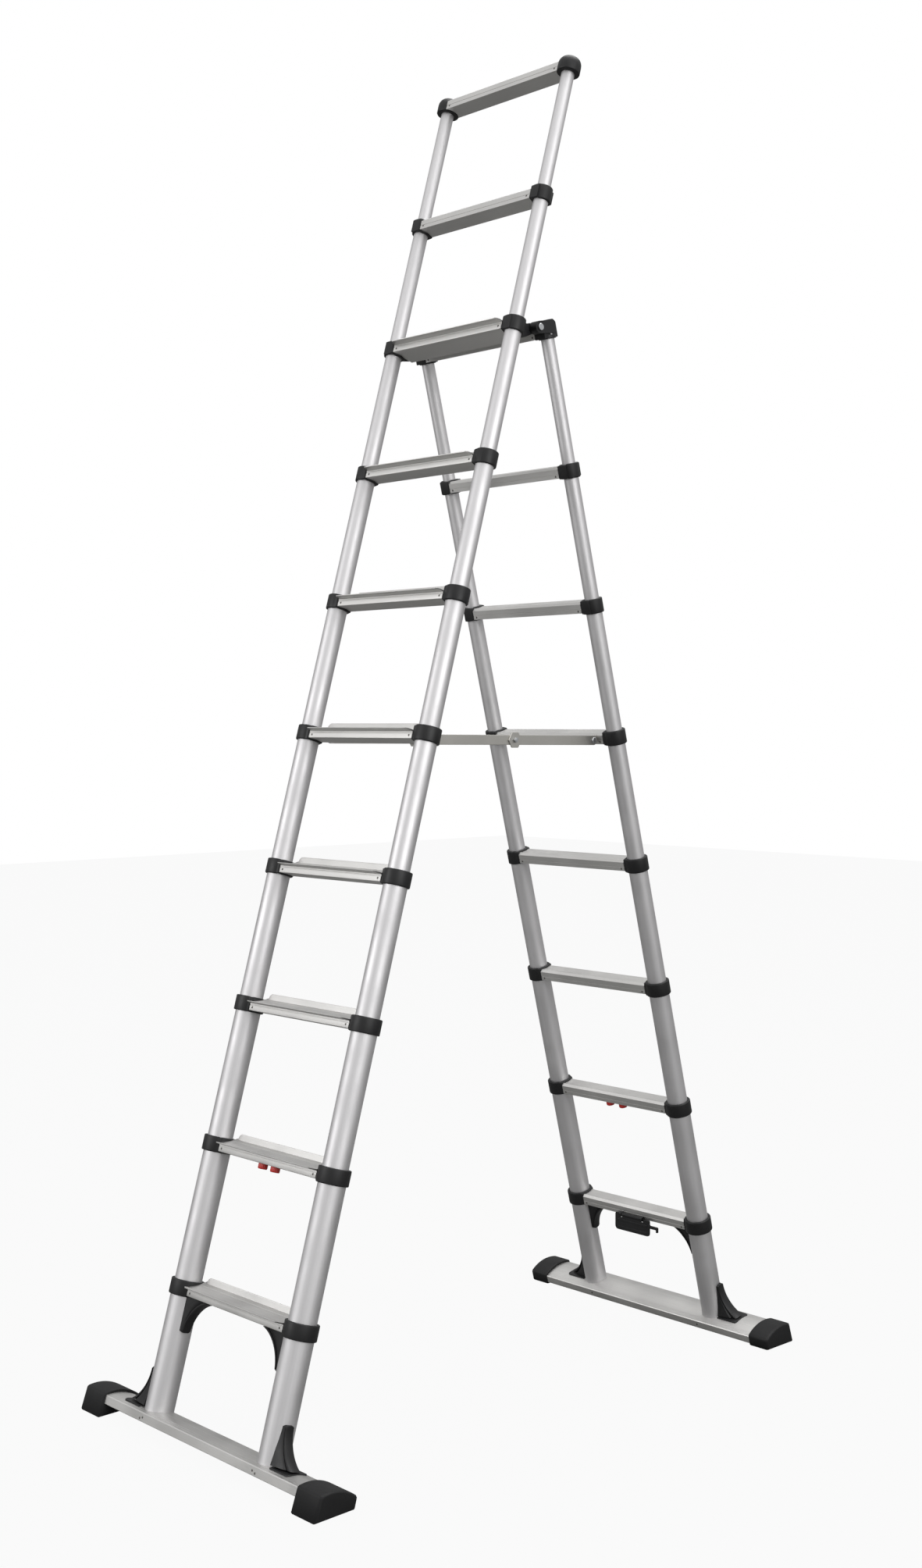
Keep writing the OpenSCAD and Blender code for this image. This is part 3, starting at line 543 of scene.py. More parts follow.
def tread_section(st, depth):
    """Outline of a tread: a box whose top is level as the ladder stands, with fine grooves
    z = 0.32 (cos(2 pi y / pitch) - 1) along its front, a nose in front and a lip that rises behind. Returns
    the outline, and how far each point is cut back at the rung's ends: 9 mm at the nose, 16 at the lip."""
    z = st.z
    rise, half_h = tan(st.fl), z.rung_h / 2
    y0, y1 = -z.rung_depth / 2, -z.rung_depth / 2 + depth
    z0 = half_h - 6.5
    z1 = z0 + depth * rise
    lip, nose = z.back_lip, z.front_lip
    y = np.linspace(y0 - nose + 2, y1 - 4, 90)
    top = z0 + np.maximum(y - y0, 0) * rise + np.where(y < y0, 0.5, 0.0) * (1 - (y - y0 + nose) / nose)
    top = top + 0.32 * (np.cos(2 * pi * y / z.groove_pitch) - 1) * (y < y0 + 0.62 * depth)
    front = rounded([(y1, z1 - 2.5), (y1, -half_h), (y0, -half_h), (y0, -2.0), (y0 + 0.7, -1.6),
                     (y0 + 0.7, -0.6), (y0, -0.2), (y0, z0 - 3.4)], [0, 1.2, 1.2, 0, 0, 0, 0, 0], 4)
    nose_pts = np.array([(y0 - 1, z0 - 2.6), (y0 - nose + 1.2, z0 - 2.1), (y0 - nose + 0.3, z0 - 1.6),
                         (y0 - nose, z0 - 0.75), (y0 - nose + 0.5, z0)])
    t = np.linspace(0, 1, 9)
    inner = np.stack([y1 - 2.2 + 1.0 * t, z1 - 0.4 + (lip + 0.2) * t], -1)
    bead = np.array([(y1 - 0.9, z1 + lip + 0.5), (y1 + 0.4, z1 + lip + 0.5)])
    outer = np.stack([y1 + 1.4 - 1.4 * t, z1 + lip - 0.4 - (lip + 1.6) * t], -1)
    pts = np.concatenate([front, nose_pts, np.stack([y, top], -1), inner, bead, outer])
    up, out = (pts[:, 1] - z1) / lip, np.clip((y0 - pts[:, 0]) / nose, 0, 1)
    behind = (pts[:, 0] > y1 - 4) & (up > 0.08)
    return pts, np.where(behind, 9 + 7 * np.clip(up, 0, 1) ** 4, 0) + 9 * out ** 4


def plain_section(st):
    """Outline of a plain rung: bevelled top edges, one groove in each face, and shallow grooves
    z = 0.3 (cos(2 pi y / pitch) - 1) in the middle of the top. Nothing is cut back at its ends."""
    half, h, bevel = st.z.rung_depth / 2, st.z.rung_h / 2, 5
    front = np.array([(-half, -h), (-half, -4.5), (0.6 - half, -4.1), (0.6 - half, -3.3), (-half, -2.9),
                      (-half, h - bevel)])
    y = np.linspace(bevel - half, half - bevel, 61)
    top = np.stack([y, h - 0.3 * (1 - np.cos(2 * pi * y / st.z.groove_pitch)) * (np.abs(y) < 11)], -1)
    return np.concatenate([front, top, front[::-1] * np.array([-1, 1])]), 0


def rung(shell, st, place, d, section, end_r=None):
    """A rung between two tubes: its section as a prism. Each end is flat, but hollowed where the collar or
    a cap of radius end_r reaches further in: at depth y it lies sqrt(r^2 - y^2) from the stile axis."""
    pts, cut = section
    r = (end_r or d / 2 + st.z.collar_wall) + SEAT
    hollow = st.stile_x - np.sqrt(np.maximum(r * r - pts[:, 0] ** 2, 0))
    x = np.minimum(st.rung_x(d), hollow) - cut
    shell.grid(along_x(pts, -x, x), place)


def rivet(shell, place, face, z, x):
    """Low domed head at (x, z) on each side, on the face at depth face: r cos t wide and 1.1 sin t high.
    It points away from the middle of the section, and its rim is sunk 0.2 mm."""
    r, rise, sunk, sign = 2.4, 1.1, 0.2, copysign(1, face)
    t = np.linspace(0.05, pi / 2 - 0.05, 6)[:, None]
    a = once_round(20)
    dome = np.stack([x + r * np.cos(t) * np.cos(a), face - sign * sunk + sign * (rise * np.sin(t) + 0 * a),
                     z + r * np.cos(t) * np.sin(a)], -1)
    shell.both(dome, place)


RUNG_RIVET_Z = {"front": -5.5, "rear": -7.5}
BAR_RIVETS = {"front": ((-5, 9.0), (4, 5.85)), "rear": ((-20, 9.0),)}    # (x from the stile axis, z)


def rivets(st):
    """Rivets that hold each rung to its bosses, and those in each bar below the stiles."""
    for side in st.sides:
        for n in range(1, side.count + 1):
            sh, face, bar_face = Shell(), st.z.rung_depth / 2, st.z.bar_depth / 2
            extra = st.z.platform_extra if side.key == "front" and n == HINGE_RUNG else 0
            x = st.rung_x(side.tube_d(n)) - 9
            for y in (-face, face + extra):
                rivet(sh, side.frame(side.rung_s(n)), y, RUNG_RIVET_Z[side.key], x)
            if n == 1:
                for x, z in BAR_RIVETS[side.key]:
                    rivet(sh, side.frame(st.z.bar_s), -bar_face, z, st.stile_x + x)
                rivet(sh, side.frame(st.z.bar_s), bar_face, 9.0, st.stile_x - 20)
            sh.make(f"{side.key}_rivets_{n}", "rivet", f"{side.key}_section_{n}", "aluminium")


def arm_plate(length, h, back):
    """Stadium outline in (y, z) from the pivot to the far hole, with half-circle ends of radius h / 2. It
    points to -Y where back is true."""
    right = arc(length, 0, h / 2, -pi / 2, pi / 2, 20)
    left = -arc(0, 0, h / 2, -pi / 2, pi / 2, 20)
    return np.concatenate([right, left]) * np.array([-1 if back else 1, 1])


def front_tubes(st):
    """The ten pairs of front tubes."""
    for n in range(1, st.z.front_count + 1):
        tubes(st, st.sides[0], n, f"front_stiles_{n}")


def front_rungs(st):
    """Seven treads, the platform tread at the hinge and two plain rungs, with the front spreader ears."""
    names = {8: "platform_tread", 9: "front_rung_9", 10: "top_rung"}
    for n in range(1, st.z.front_count + 1):
        sh, d, place = Shell(), st.front_d(n), st.front(st.front_s(n))
        if n <= HINGE_RUNG:
            extra = st.z.platform_extra if n == HINGE_RUNG else 0
            rung(sh, st, place, d, tread_section(st, st.z.rung_depth + extra))
        else:
            rung(sh, st, place, d, plain_section(st), CAP_R if n == st.z.front_count else None)
        if n == SPREADER_RUNG:
            spreader_ear(sh, st, place, 1, FRONT_EAR)
        sh.make(f"front_rung_profile_{n}", "rung", f"front_section_{n}", "aluminium",
                [names.get(n, f"front_tread_{n}")])


def spreader_ear(shell, st, place, inward, x0):
    """Lug on a rung's face: a flat plate with a round end about the spreader pivot."""
    h, root, face = st.z.arm_h / 2, st.z.rung_depth / 2 + SEAT, 0.05
    plate = np.concatenate([[(root, -h)], arc(st.z.spreader_offset, 0, h, -pi / 2, pi / 2, 16),
                            [(root, h)]]) * np.array([inward, 1])
    shell.both(along_x(plate, x0 + face, x0 + st.z.arm_t - face), place)


def rear_tubes_and_rungs(st):
    """The eight pairs of rear tubes and the plain rungs between them, with the rear spreader ears."""
    for n in range(1, st.z.rear_count + 1):
        tubes(st, st.sides[1], n, f"rear_frame_{n}")
        sh, place = Shell(), st.rear(st.rear_s(n))
        rung(sh, st, place, st.rear_d(n), plain_section(st))
        if n == SPREADER_RUNG:
            spreader_ear(sh, st, place, -1, REAR_EAR)
        sh.make(f"rear_rung_profile_{n}", "rear_rung", f"rear_section_{n}", "aluminium",
                [f"rear_frame_{n}"])


def collars(st):
    """The pair of collars at the top of each section, and the plugs in the lower ends of its tubes."""
    for side in st.sides:
        for n in range(1, side.count):
            sh = Shell()
            collar(sh, st, side.frame(side.rung_s(n)), side.tube_d(n), side.tube_d(n + 1))
            if n > 1:
                end_plug(sh, st, side, n)
            sh.make(f"{side.key}_collar_pair_{n}", "nylon", f"{side.key}_section_{n}", "black_plastic",
                    [f"{side.key}_collars_{n}"], angle=40)


def front_caps(st):
    """Front caps: the collar's outline drawn in toward a dome, r(z) = full * (1 - u^2.6)^(1/2.6), and up
    to 27.5 mm toward the rung."""
    n, power, reach, underside, dome_z, dome_h = st.z.front_count, 2.6, 27.5, -14.0, 1, 22.5
    d = st.front_d(n)
    a = once_round(120)
    full = np.where(np.cos(a) > -0.2, CAP_R, np.clip(collar_radius(st, d, a), CAP_R, reach))
    rings = [(d / 2 + SEAT, underside), (full - 2.2, underside), (full - 0.6, underside + 0.8),
             (full, underside + 2.5)]
    rings += [(full * (1 - u ** power) ** (1 / power), dome_z + dome_h * u)
              for u in np.linspace(0, 0.985, 14)]
    sh = Shell()
    sh.both(outline_rings(st.stile_x, 0, a, rings), st.front(st.front_s(n)))
    end_plug(sh, st, st.sides[0], n)
    sh.make("front_dome_caps", "nylon", f"front_section_{n}", "black_plastic", ["front_top_caps"],
            angle=50)


def rear_caps(st):
    """Rear caps: a block with a rounded back over each tube's end, a ring below it, and a lug that holds
    the hinge pin."""
    n = st.z.rear_count
    place, d = st.rear(st.rear_s(n)), st.rear_d(n)
    x0, x1, lug_x = st.rung_x(d), st.stile_x + 17, 184.6
    pin_y, pin_z, lug_r = -st.z.hinge_rear_offset, st.z.hinge_rear_rise, 13
    side = rounded([(-22, -14.5), (18, -14.5), (18, 17), (11, 23.8), (-5, 23.8), (-9, 18.5), (-22, 17)],
                   [2, 2.5, 7, 7, 4, 3, 3], 6)
    sh = Shell()
    sh.both(along_x(side, x0, x1 - 3), place)
    bore, out = d / 2 + SEAT, d / 2 + st.z.collar_wall
    ring = [(bore, -16), (out - 0.9, -16), (out, -15), (out, -8), (bore, -8)]
    sh.both(lathe(ring, (st.stile_x, 0, 0), 56), place, close=True)
    lug = np.concatenate([arc(pin_y, pin_z, lug_r, pi / 2, 1.5 * pi, 24),
                          [(6, -6), (14, 4), (6, 21)]])
    sh.both(along_x(lug, lug_x, x1), place)
    end_plug(sh, st, st.sides[1], n)
    sh.make("rear_hinge_caps", "nylon", f"rear_section_{n}", "black_plastic", ["rear_top_caps"],
            bevel=1.4)


def hinge(st):
    """The ears that stand out behind the eighth rung, and the pins through their rounded ends."""
    sh, place, body = Shell(), st.front(st.front_s(HINGE_RUNG)), f"front_section_{HINGE_RUNG}"
    y, z, ear_x0, ear_x1, pin_x1 = st.z.hinge_offset, st.z.hinge_rise, 170.0, 184.0, 208.0
    side = rounded([(22.6, -14.5), (22.6, 14.5), (y - 12, z + 7), (y - 3, z + 10.6), (y + 9, z + 6),
                    (y + 10.5, z - 4), (y + 3, z - 10.4), (40, -7)], [1, 2, 3, 6, 6, 6, 6, 6], 6)
    sh.both(along_x(side, ear_x0, ear_x1), place)
    sh.make("hinge_ears", "powder", body, "bracket_black", ["hinge_brackets"], bevel=1.2)
    sh = Shell()
    turned_rod(sh, place, y, z, ear_x0 - 1, pin_x1, st.z.hinge_pin_d / 2)
    turned_rod(sh, place, y, z, ear_x0 - 3.8, ear_x0, 8.0, n=6)
    turned_rod(sh, place, y, z, pin_x1 - 2.7, pin_x1 + 0.4, 7.2)
    sh.make("hinge_pins", "zinc", body, "bracket_black")


def base_bars(st):
    """The two bars: flat below, square at the sides and arched on top, with three pairs of scored lines
    z = -0.35 exp(-((|y| - g) / 0.9)^2) along them, and a round seat cut for each tube."""
    z = st.z
    half, low, high, into_foot = z.bar_depth / 2, z.bar_s, z.bar_s + z.bar_side_h - 1.4, 8
    y = np.linspace(-half + 1.2, half - 1.2, 121)
    top = st.crown(y) - 0.35 * sum(np.exp(-((np.abs(y) - g) / 0.9) ** 2) for g in (36, 31, 12))
    outline = np.concatenate([[(half - 1, low), (-half + 1, low), (-half, low + 1), (-half, high)],
                              np.stack([y, top], -1), [(half, high), (half, low + 1)]])
    for side, finish in zip(st.sides, ("rung", "rear_rung")):
        x, seat_r = side.base_w / 2 - into_foot, side.tube_d(1) / 2 + SEAT
        sh, seats = Shell(), Shell()
        sh.grid(along_x(outline, -x, x), side.frame(0))
        bar = sh.make(f"{side.key}_arched_bar", finish, f"{side.key}_section_1", "aluminium",
                      [f"{side.key}_base_bar"])
        seats.both(lathe([(seat_r, st.tube_foot - 0.3), (seat_r, st.bar_top + 5)], (st.stile_x, 0, 0), 80),
                   side.frame(0))
        pocket(bar, seats)


def foot_rings(st, lean, w, length):
    """A foot from its mouth to its rounded end: the section is a flared box under a low arch, cut level
    with the floor at z = y tan(lean), and toward the end it shrinks about its middle as a quarter circle."""
    inner, outer = st.z.bar_depth / 2 + 2.2, -st.z.bar_depth / 2 - 5
    left, top, tl, arch_rise = outer - 2.6, st.bar_top + 6, tan(lean), 10
    arch_r = (inner ** 2 + arch_rise ** 2) / (2 * arch_rise)
    y = np.linspace(outer + 4, inner - 3, 24)
    arch = top - arch_r + np.sqrt(arch_r ** 2 - y * y)
    shoulder = top - arch_r + sqrt(arch_r ** 2 - inner ** 2)
    body = np.concatenate([
        [(inner - 1.6, (inner - 1.6) * tl), (left + 2, (left + 2) * tl), (left, left * tl + 2.5),
         (outer + 0.2, shoulder - 5), (outer + 0.8, shoulder - 2)],
        np.stack([y, np.minimum(arch, shoulder + 1 + (y - outer) * 0.55)], -1),
        [(inner - 0.5, shoulder - 1.5), (inner, shoulder - 5), (inner, inner * tl + 2)]])
    mid = np.array([-2.0, 24.0])
    x1, x0, soft = w / 2, w / 2 - length, 7.0
    steps = [(x0, 0.965), (x0 + 1.2, 0.99), (x0 + 3, 1.0)] + [
        (x1 - soft + soft * sin(t), 1 - 0.15 * (1 - cos(t)))
        for t in np.linspace(0, pi / 2, 8)]
    rings = []
    for x, k in steps:
        o = mid + (body - mid) * k
        rings.append(np.stack([np.full(len(o), x), o[:, 0], np.maximum(o[:, 1], o[:, 0] * tl)], -1))
    return np.stack(rings)


def feet(st):
    """The four rubber feet, with the rear pair turned about."""
    for side in st.sides:
        sh = Shell()
        rings = foot_rings(st, side.lean, side.base_w, side.foot_length) * np.array([1, side.inward, 1])
        sh.both(rings, side.frame(0))
        sh.make(f"{side.key}_rubber_feet", "rubber", f"{side.key}_section_1", "foot_rubber",
                [f"{side.key}_feet"], angle=50)


def web(reach, height, flat, narrow, flange, tube_r, aside):
    """A corner web: for t from 0 at its tip to 1 at its toe, a straight line runs from the leg on the tube to
    a hollow arc of radius 80 mm. The half width along it is flat at the leg, narrow behind the flange, and
    flange at the arc, each as its value at the tip and at the toe. The leg wraps the tube: at depth y it
    lies r - sqrt(r^2 - y^2) behind the tube's face, and a millimetre more, where aside is the web's shift
    along Y. Returns rings (x out, y, z up) with the corner at the origin."""
    tip, toe, arc_r, gap, wrap = 6, 2.5, 80, 1.0, 8.0
    a, b = np.array([tip, height]), np.array([reach, toe])
    c = b - a
    l = np.linalg.norm(c)
    o = (a + b) / 2 + np.array([-c[1], c[0]]) / l * sqrt(arc_r ** 2 - l * l / 4)
    a0, a1 = (atan2(*(v - o)[::-1]) for v in (a, b))
    a1 = a0 + ((a1 - a0 + pi) % (2 * pi) - pi)
    t = np.linspace(0, 1, 28)
    edge = o + arc_r * np.stack([np.cos(a0 + (a1 - a0) * t), np.sin(a0 + (a1 - a0) * t)], -1)
    u = np.array([0, 0.25, 0.5, 0.66, 0.74, 0.80, 0.93, 1.0])
    fall, swell = np.array([1, 0.97, 0.9, 0.8]), np.array([1, 1, 0.9 / 1.3])
    grow = (t ** 1.5)[:, None]
    at_leg, at_neck, at_arc = (w[0] + (w[1] - w[0]) * grow for w in (flat, narrow, flange))
    blunt = np.minimum(t / 0.04 + 0.55, 1)[:, None]
    hw = np.concatenate([at_leg * fall, at_neck, at_arc * swell], 1) * blunt

    def leg(y):
        off = np.minimum(np.abs(y + aside), 0.95 * tube_r)
        return -np.minimum(tube_r - np.sqrt(tube_r ** 2 - off ** 2) + gap, wrap)

    z0 = (height * (1 - t))[:, None]
    sides = [np.stack([leg(y) + (edge[:, :1] - leg(y)) * u, np.sign(y) * hw, z0 + (edge[:, 1:] - z0) * u], -1)
             for y in (-hw[:, :1], hw[:, :1])]
    seam_y = hw[:, :1] * np.linspace(0.8, -0.8, 9)
    seam = np.stack([leg(seam_y), seam_y, z0 + 0 * seam_y], -1)
    return np.concatenate([sides[0], sides[1][:, ::-1], seam], 1)


def gussets_and_braces(st):
    """Gussets outside the stiles, each on a plate that follows the bar's arch, and braces below the first
    rung. The gussets stand 6 mm and the braces 4 mm away from the other ladder."""
    z = st.z
    for side in st.sides:
        sh, r = Shell(), side.tube_d(1) / 2
        aside = -6 * side.inward
        gusset = web(48, z.gusset_h, (10.5, 19), (6, 9), (9.5, 12.5), r, aside)
        sh.both(gusset + np.array([st.stile_x + r, aside, st.bar_top + 0.3]), side.frame(0))
        plate = rounded([(-25, 0), (25, 0), (25, 60), (-25, 60)], [0, 0, 7, 7], 7)
        y, x = plate[:, 0] + aside, st.stile_x + r - 1 + plate[:, 1] * 55 / 60
        rings = np.stack([np.stack([x, y, st.crown(y) + h], -1) for h in (-0.5, 1.6, 2.6)])
        rings[2, :, 0] += np.where(plate[:, 1] > 30, -1.0, 0)
        sh.both(rings, side.frame(0))
        aside = -4 * side.inward
        brace = web(z.brace_length, z.brace_length + 3, (11, 11), (7, 7), (10.5, 10.5), r, aside)
        corner = np.array([st.stile_x - r, aside, -z.rung_h / 2 - SEAT])
        sh.both(brace * np.array([-1, 1, -1]) + corner, side.frame(side.rung_s(1)))
        sh.make(f"{side.key}_gussets_and_braces", "nylon", f"{side.key}_section_1", "black_plastic",
                [f"{side.key}_braces"], bevel=0.8)


def spreader(st):
    """Two pairs of flat arms with their bolts, and a hexagonal plate where they meet. The arms' lengths
    differ by the hinge's offset, so that the spreader folds flat."""
    z = st.z
    front_pivot = turn(-st.fl, (z.spreader_offset, st.front_s(SPREADER_RUNG))) + np.array([st.front_y, 0])
    rear_pivot = turn(st.rl, (-z.spreader_offset, st.rear_s(SPREADER_RUNG))) + np.array([st.rear_y, 0])
    way = rear_pivot - front_pivot
    angle, span = atan2(way[1], way[0]), np.linalg.norm(way)
    rise = z.hinge_rise - z.hinge_rear_rise
    hex_r, head_r, shank_r, middle_r, gap = 19, 7.0, 4.0, 6.0, 0.1
    for key, pivot, length, x0, ear in (("front", front_pivot, (span - rise) / 2, FRONT_ARM, FRONT_EAR),
                                        ("rear", rear_pivot, (span + rise) / 2, FRONT_EAR, REAR_EAR)):
        back, place, x1 = key == "rear", tilted(angle, *pivot), x0 + z.arm_t
        sh = Shell()
        sh.both(along_x(arm_plate(length, z.arm_h, back), x0, x1), place)
        if not back:
            t = np.arange(6) * pi / 3
            plate = rounded(np.stack([length + hex_r * np.cos(t), hex_r * np.sin(t)], -1), 3, 5)
            sh.both(along_x(plate, x1 + gap, x1 + 3), place)
        sh.make(f"spreader_{key}_bars", "flat_bar", f"spreader_{key}", "spreader_metal",
                [f"spreader_{key}_arms"], bevel=0.7)
        sh = Shell()
        turned_rod(sh, place, 0, 0, ear - 3.3, ear - 0.3, head_r)
        turned_rod(sh, place, 0, 0, ear - 0.4, x1 + 0.2, shank_r)
        turned_rod(sh, place, 0, 0, x1, x1 + 3, head_r, 1.4)
        if not back:
            turned_rod(sh, place, length, 0, x1 + 3 + gap, x1 + 8, middle_r, 0.8, n=6)
            turned_rod(sh, place, length, 0, x1 + 7, x1 + 8.4, 3.6, 0.8)
        sh.make(f"spreader_{key}_bolts", "zinc", f"spreader_{key}", "spreader_metal")


def release_buttons(st):
    """Round thumb buttons below the second rungs: the outline is a circle with 18 low flutes,
    r = R + 0.3 cos(18 a). Each has a stem, and a rod along X that reaches into the tube."""
    flute, x, y, rod_z, r = 0.3, 20, -8, -3.3, 4.4
    a = once_round(108)
    full = st.z.button_d / 2 - 0.35 + flute * np.cos(18 * a)
    top, low = -st.z.rung_h / 2 - 0.35, -st.z.rung_h / 2 - 11.2
    prof = [(0.3, top), (0.96, top), (1.0, top - 1), (1.0, low + 2.2), (0.94, low + 0.6), (0.84, low),
            (0.45, low + 0.4), (0.1, low + 0.6)]
    for side in st.sides:
        tip = st.stile_x - side.tube_d(2) / 2 + 1.2
        shapes = (outline_rings(x, y, a, [(full * k, z) for k, z in prof]),
                  lathe([(r, -14.5), (r, -2.5)], (x, 0, 0), 24),
                  rod_x([(x, r), (tip - 1, r), (tip, r - 1)], (0, 0, rod_z), 24))
        for hand, sign in (("right", 1), ("left", -1)):
            sh = Shell()
            for rings in shapes:
                sh.grid(rings * np.array([sign, 1, 1]), side.frame(side.rung_s(2)))
            sh.make(f"{side.key}_thumb_button_{hand}", "red", f"{side.key}_release_{hand}_button",
                    "red_plastic", [f"{side.key}_release_{hand}"], angle=40)


def transport_latch(st):
    """Two lugs in front of the first rear rung with a pin, and the plate that hangs from it by its barrel,
    with rounded corners, two ribs along it and a hook at one end."""
    rung_place = st.rear(st.rear_s(1))
    lug = rounded([(-31, -15.5), (-20.1, -15.5), (-20.1, -4.5), (-31, -4.5)], [4.5, 0, 0, 4.5], 6)
    pin_x, pin_r = 36.4, 2.3
    pin = [(-pin_x, pin_r - 0.7), (-pin_x, pin_r), (pin_x, pin_r), (pin_x, pin_r - 0.7)]
    sh = Shell()
    sh.both(along_x(lug, 30, 36), rung_place)
    sh.grid(rod_x(pin, (0, LATCH_Y, LATCH_Z), 24), rung_place)
    sh.make("transport_latch_lugs", "nylon", "rear_section_1", "black_plastic")
    upright = tilted(-st.rl, LATCH_Y, LATCH_Z)
    half_t, proud, bore, barrel = 2.4, 3.6, 2.6, 4.9
    face = rounded([(-51, 3.2), (-51, -38), (57, -38), (57, -18), (78, -18), (78, -24), (83, -24), (83, -11),
                    (57, -11), (57, 0.5), (37, 0.5), (37, -7.5), (29.3, -7.5), (29.3, 3.2), (-29.3, 3.2),
                    (-29.3, -7.5), (-37, -7.5), (-37, 3.2)],
                   [5, 9, 7, 2, 1, 1.5, 1.5, 3, 3, 3, 1, 2, 2, 1, 1, 2, 2, 1], 6)
    ribs = [rounded([(-45, z), (51, z), (51, z + 5), (-45, z + 5)], 2.2, 5) for z in (-16, -33)]
    sh = Shell()
    for rings in (along_y(face, -half_t, half_t), along_y(ribs[0], -proud, 0), along_y(ribs[1], -proud, 0),
                  rod_x([(-29.6, bore), (-29.6, barrel), (29.6, barrel), (29.6, bore)], (0, 0, 0), 36)):
        sh.grid(rung_place(upright(rings)))
    sh.make("transport_latch_plate", "nylon", "latch", "black_plastic", ["transport_latch"],
            bevel=0.8)


LIGHTS = (      # name, place, what it points at, size in metres, power in watts
    ("key", (5.2, -0.9, 3.0), (0, 0, 1.2), 3.8, 150),
    ("fill", (-2.4, -5.4, 2.8), (0, 0, 1.2), 3.0, 125),
    ("top", (0.3, 1.2, 6.5), (0, 0, 1.0), 4.0, 230),
)
CAMERA_PLACE, CAMERA_TILT, CAMERA_TURN = (2.9477, -2.7684, 1.4313), -2.159, 46.686      # metres, degrees
CAMERA_LENS, CAMERA_SENSOR, CAMERA_SHIFT = 42.68, 36, 0.0063
SKY_SIDE, SKY_DARK, SKY_BRIGHT = (0.46, -0.34, 0.82), 0.06, 1.15
FLOOR_HALF, FLOOR_WHITE = 14.0, 0.94


def pale_floor(base):
    """A matt grey floor that the camera itself sees as nearly white, so that it throws little light up."""
    m, t = blank("pale_floor")
    co = add(t, "ShaderNodeTexCoord")
    cloud = add(t, "ShaderNodeTexNoise", {"Scale": 3.0}, {"Vector": co.outputs["Object"]})
    rough = add(t, "ShaderNodeMapRange", {"To Min": 0.75, "To Max": 0.85}, {"Value": cloud.outputs["Fac"]})
    skin = add(t, "ShaderNodeBsdfPrincipled", {"Base Color": base}, {"Roughness": rough.outputs["Result"]})
    lit = add(t, "ShaderNodeEmission", {"Color": (1, 1, 1, 1), "Strength": 1.0})
    seen = add(t, "ShaderNodeLightPath")
    share = add(t, "ShaderNodeMapRange", {"To Min": 0.0, "To Max": FLOOR_WHITE},
                {"Value": seen.outputs["Is Camera Ray"]})
    both = add(t, "ShaderNodeMixShader", {}, {0: share.outputs["Result"], 1: skin.outputs["BSDF"],
                                              2: lit.outputs["Emission"]})
    add(t, "ShaderNodeOutputMaterial", {}, {"Surface": both.outputs["Shader"]})
    return m


def soft_sky():
    """White behind the ladder; as light, a dome that runs from dark to bright toward SKY_SIDE."""
    world = bpy.data.worlds.new("studio")
    world.use_nodes = True
    t = world.node_tree
    t.nodes.clear()
    way = add(t, "ShaderNodeTexCoord")
    aim = add(t, "ShaderNodeVectorMath", {"operation": "DOT_PRODUCT", 1: SKY_SIDE},
              {0: way.outputs["Generated"]})
    dome = add(t, "ShaderNodeMapRange", {"From Min": -1.0, "From Max": 1.0, "To Min": SKY_DARK,
                                         "To Max": SKY_BRIGHT}, {"Value": aim.outputs["Value"]})
    seen = add(t, "ShaderNodeLightPath")
    level = add(t, "ShaderNodeMix", {3: 1.0}, {0: seen.outputs["Is Camera Ray"], 2: dome.outputs["Result"]})
    sky = add(t, "ShaderNodeBackground", {"Color": (1, 1, 1, 1)}, {"Strength": level.outputs[0]})
    add(t, "ShaderNodeOutputWorld", {}, {"Surface": sky.outputs["Background"]})
    return world


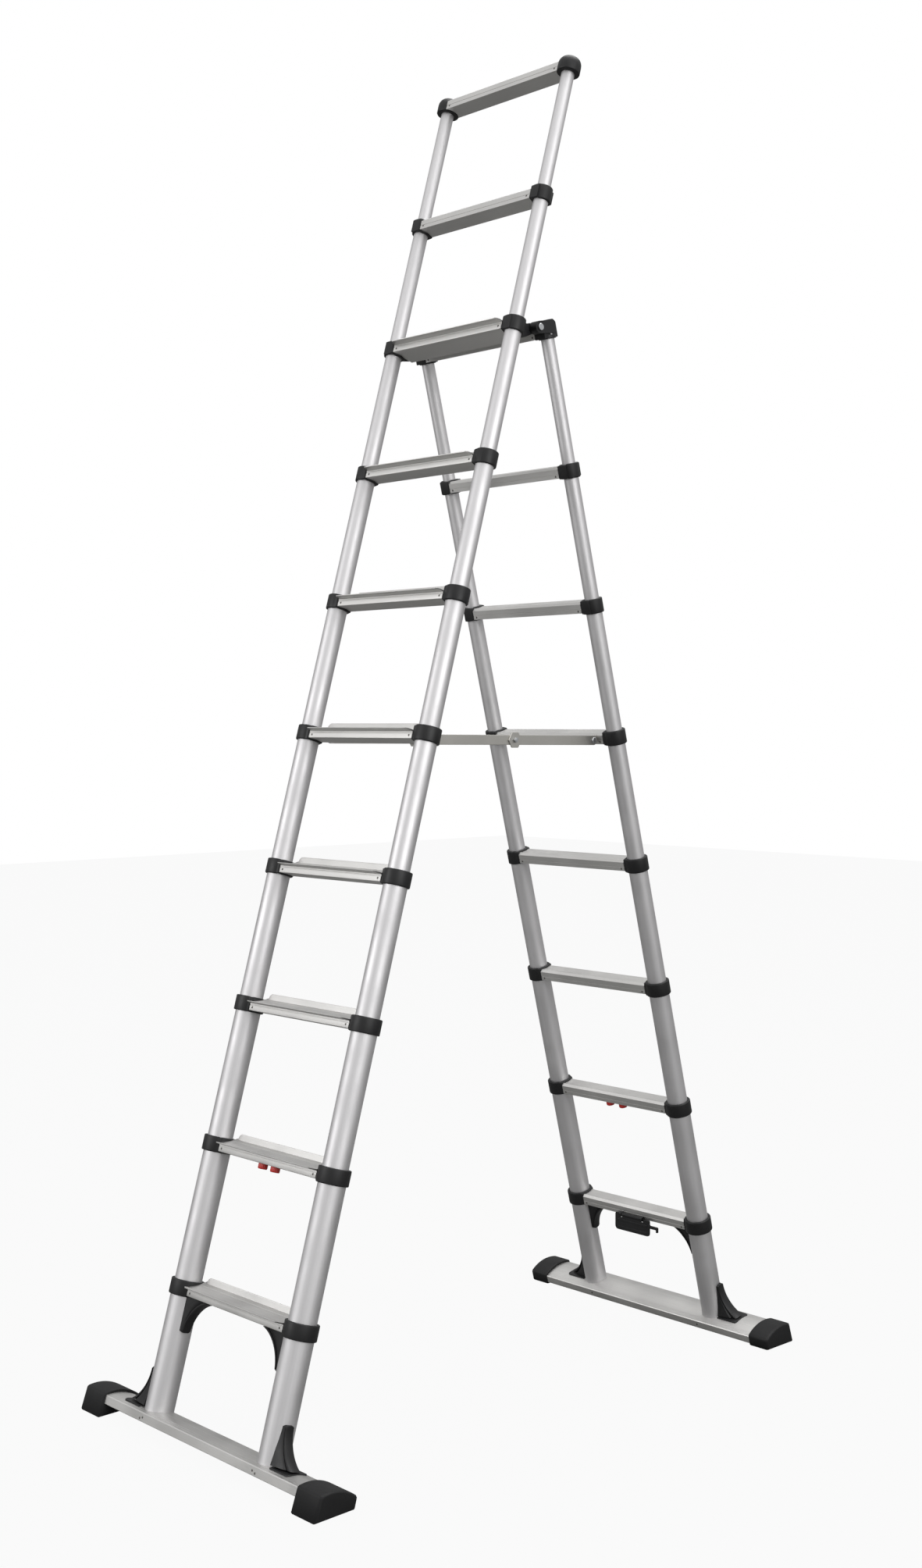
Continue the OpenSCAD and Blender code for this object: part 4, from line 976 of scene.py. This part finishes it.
def studio(_):
    """Pale floor, soft light from above and both sides, and the camera."""
    scene = bpy.context.scene
    x, y = np.meshgrid([-FLOOR_HALF, FLOOR_HALF], [-FLOOR_HALF, FLOOR_HALF], indexing="ij")
    me = bpy.data.meshes.new("studio_floor")
    me.from_pydata(np.stack([x, y, 0 * x], -1).reshape(-1, 3).tolist(), [], [(0, 2, 3, 1)])
    me.materials.append(pale_floor(scene.ladder_finishes.floor))
    floor = bpy.data.objects.new("studio_floor", me)
    scene.collection.objects.link(floor)
    scene.world = soft_sky()
    scene.view_settings.view_transform = "Standard"
    for name, loc, aim, size, power in LIGHTS:
        light = bpy.data.lights.new(name, "AREA")
        light.size, light.energy = size, power
        ob = bpy.data.objects.new(name, light)
        ob.location = loc
        d = np.array(aim) - np.array(loc)
        ob.rotation_euler = (atan2(hypot(d[0], d[1]), -d[2]), 0, atan2(-d[0], d[1]))
        scene.collection.objects.link(ob)
    cam = bpy.data.cameras.new("camera")
    cam.sensor_width, cam.lens, cam.shift_y = CAMERA_SENSOR, CAMERA_LENS, CAMERA_SHIFT
    ob = bpy.data.objects.new("camera", cam)
    ob.location = CAMERA_PLACE
    ob.rotation_euler = (pi / 2 + radians(CAMERA_TILT), 0, radians(CAMERA_TURN))
    scene.collection.objects.link(ob)
    scene.camera = ob


# ---- add-on

STEPS = (finishes, front_tubes, front_rungs, rear_tubes_and_rungs, collars, front_caps, rear_caps, hinge,
         base_bars, feet, gussets_and_braces, spreader, release_buttons, transport_latch, rivets, studio)


def operator_for(step):
    """One operator that runs one step, with its label from the step's name and its description from the
    first sentence of the docstring."""
    def execute(self, context):
        step(Stance())
        return {"FINISHED"}
    name = step.__name__
    return type("LADDER_OT_" + name, (bpy.types.Operator,), {
        "__doc__": " ".join(step.__doc__.split()).split(". ")[0], "bl_idname": "ladder." + name,
        "bl_label": name.replace("_", " ").capitalize(), "bl_options": {"REGISTER", "UNDO"},
        "execute": execute})


OPERATORS = [operator_for(step) for step in STEPS]


class LADDER_PT_panel(bpy.types.Panel):
    """Lists the ladder's pieces in the sidebar"""
    bl_label = "Ladder"
    bl_idname = "LADDER_PT_panel"
    bl_space_type = "VIEW_3D"
    bl_region_type = "UI"
    bl_category = "Ladder"

    def draw(self, context):
        for op in OPERATORS:
            self.layout.operator(op.bl_idname)


CLASSES = [LadderSizes, LadderFinishes] + OPERATORS + [LADDER_PT_panel]


def register():
    for cls in CLASSES:
        bpy.utils.register_class(cls)
    bpy.types.Scene.ladder_sizes = PointerProperty(type=LadderSizes)
    bpy.types.Scene.ladder_finishes = PointerProperty(type=LadderFinishes)


def unregister():
    del bpy.types.Scene.ladder_finishes
    del bpy.types.Scene.ladder_sizes
    for cls in reversed(CLASSES):
        bpy.utils.unregister_class(cls)


def main():
    """Makes every piece in order, and writes the frame's box and the finished ladder's box."""
    register()
    for step in STEPS:
        getattr(bpy.ops.ladder, step.__name__)()


if __name__ == "__main__":
    main()
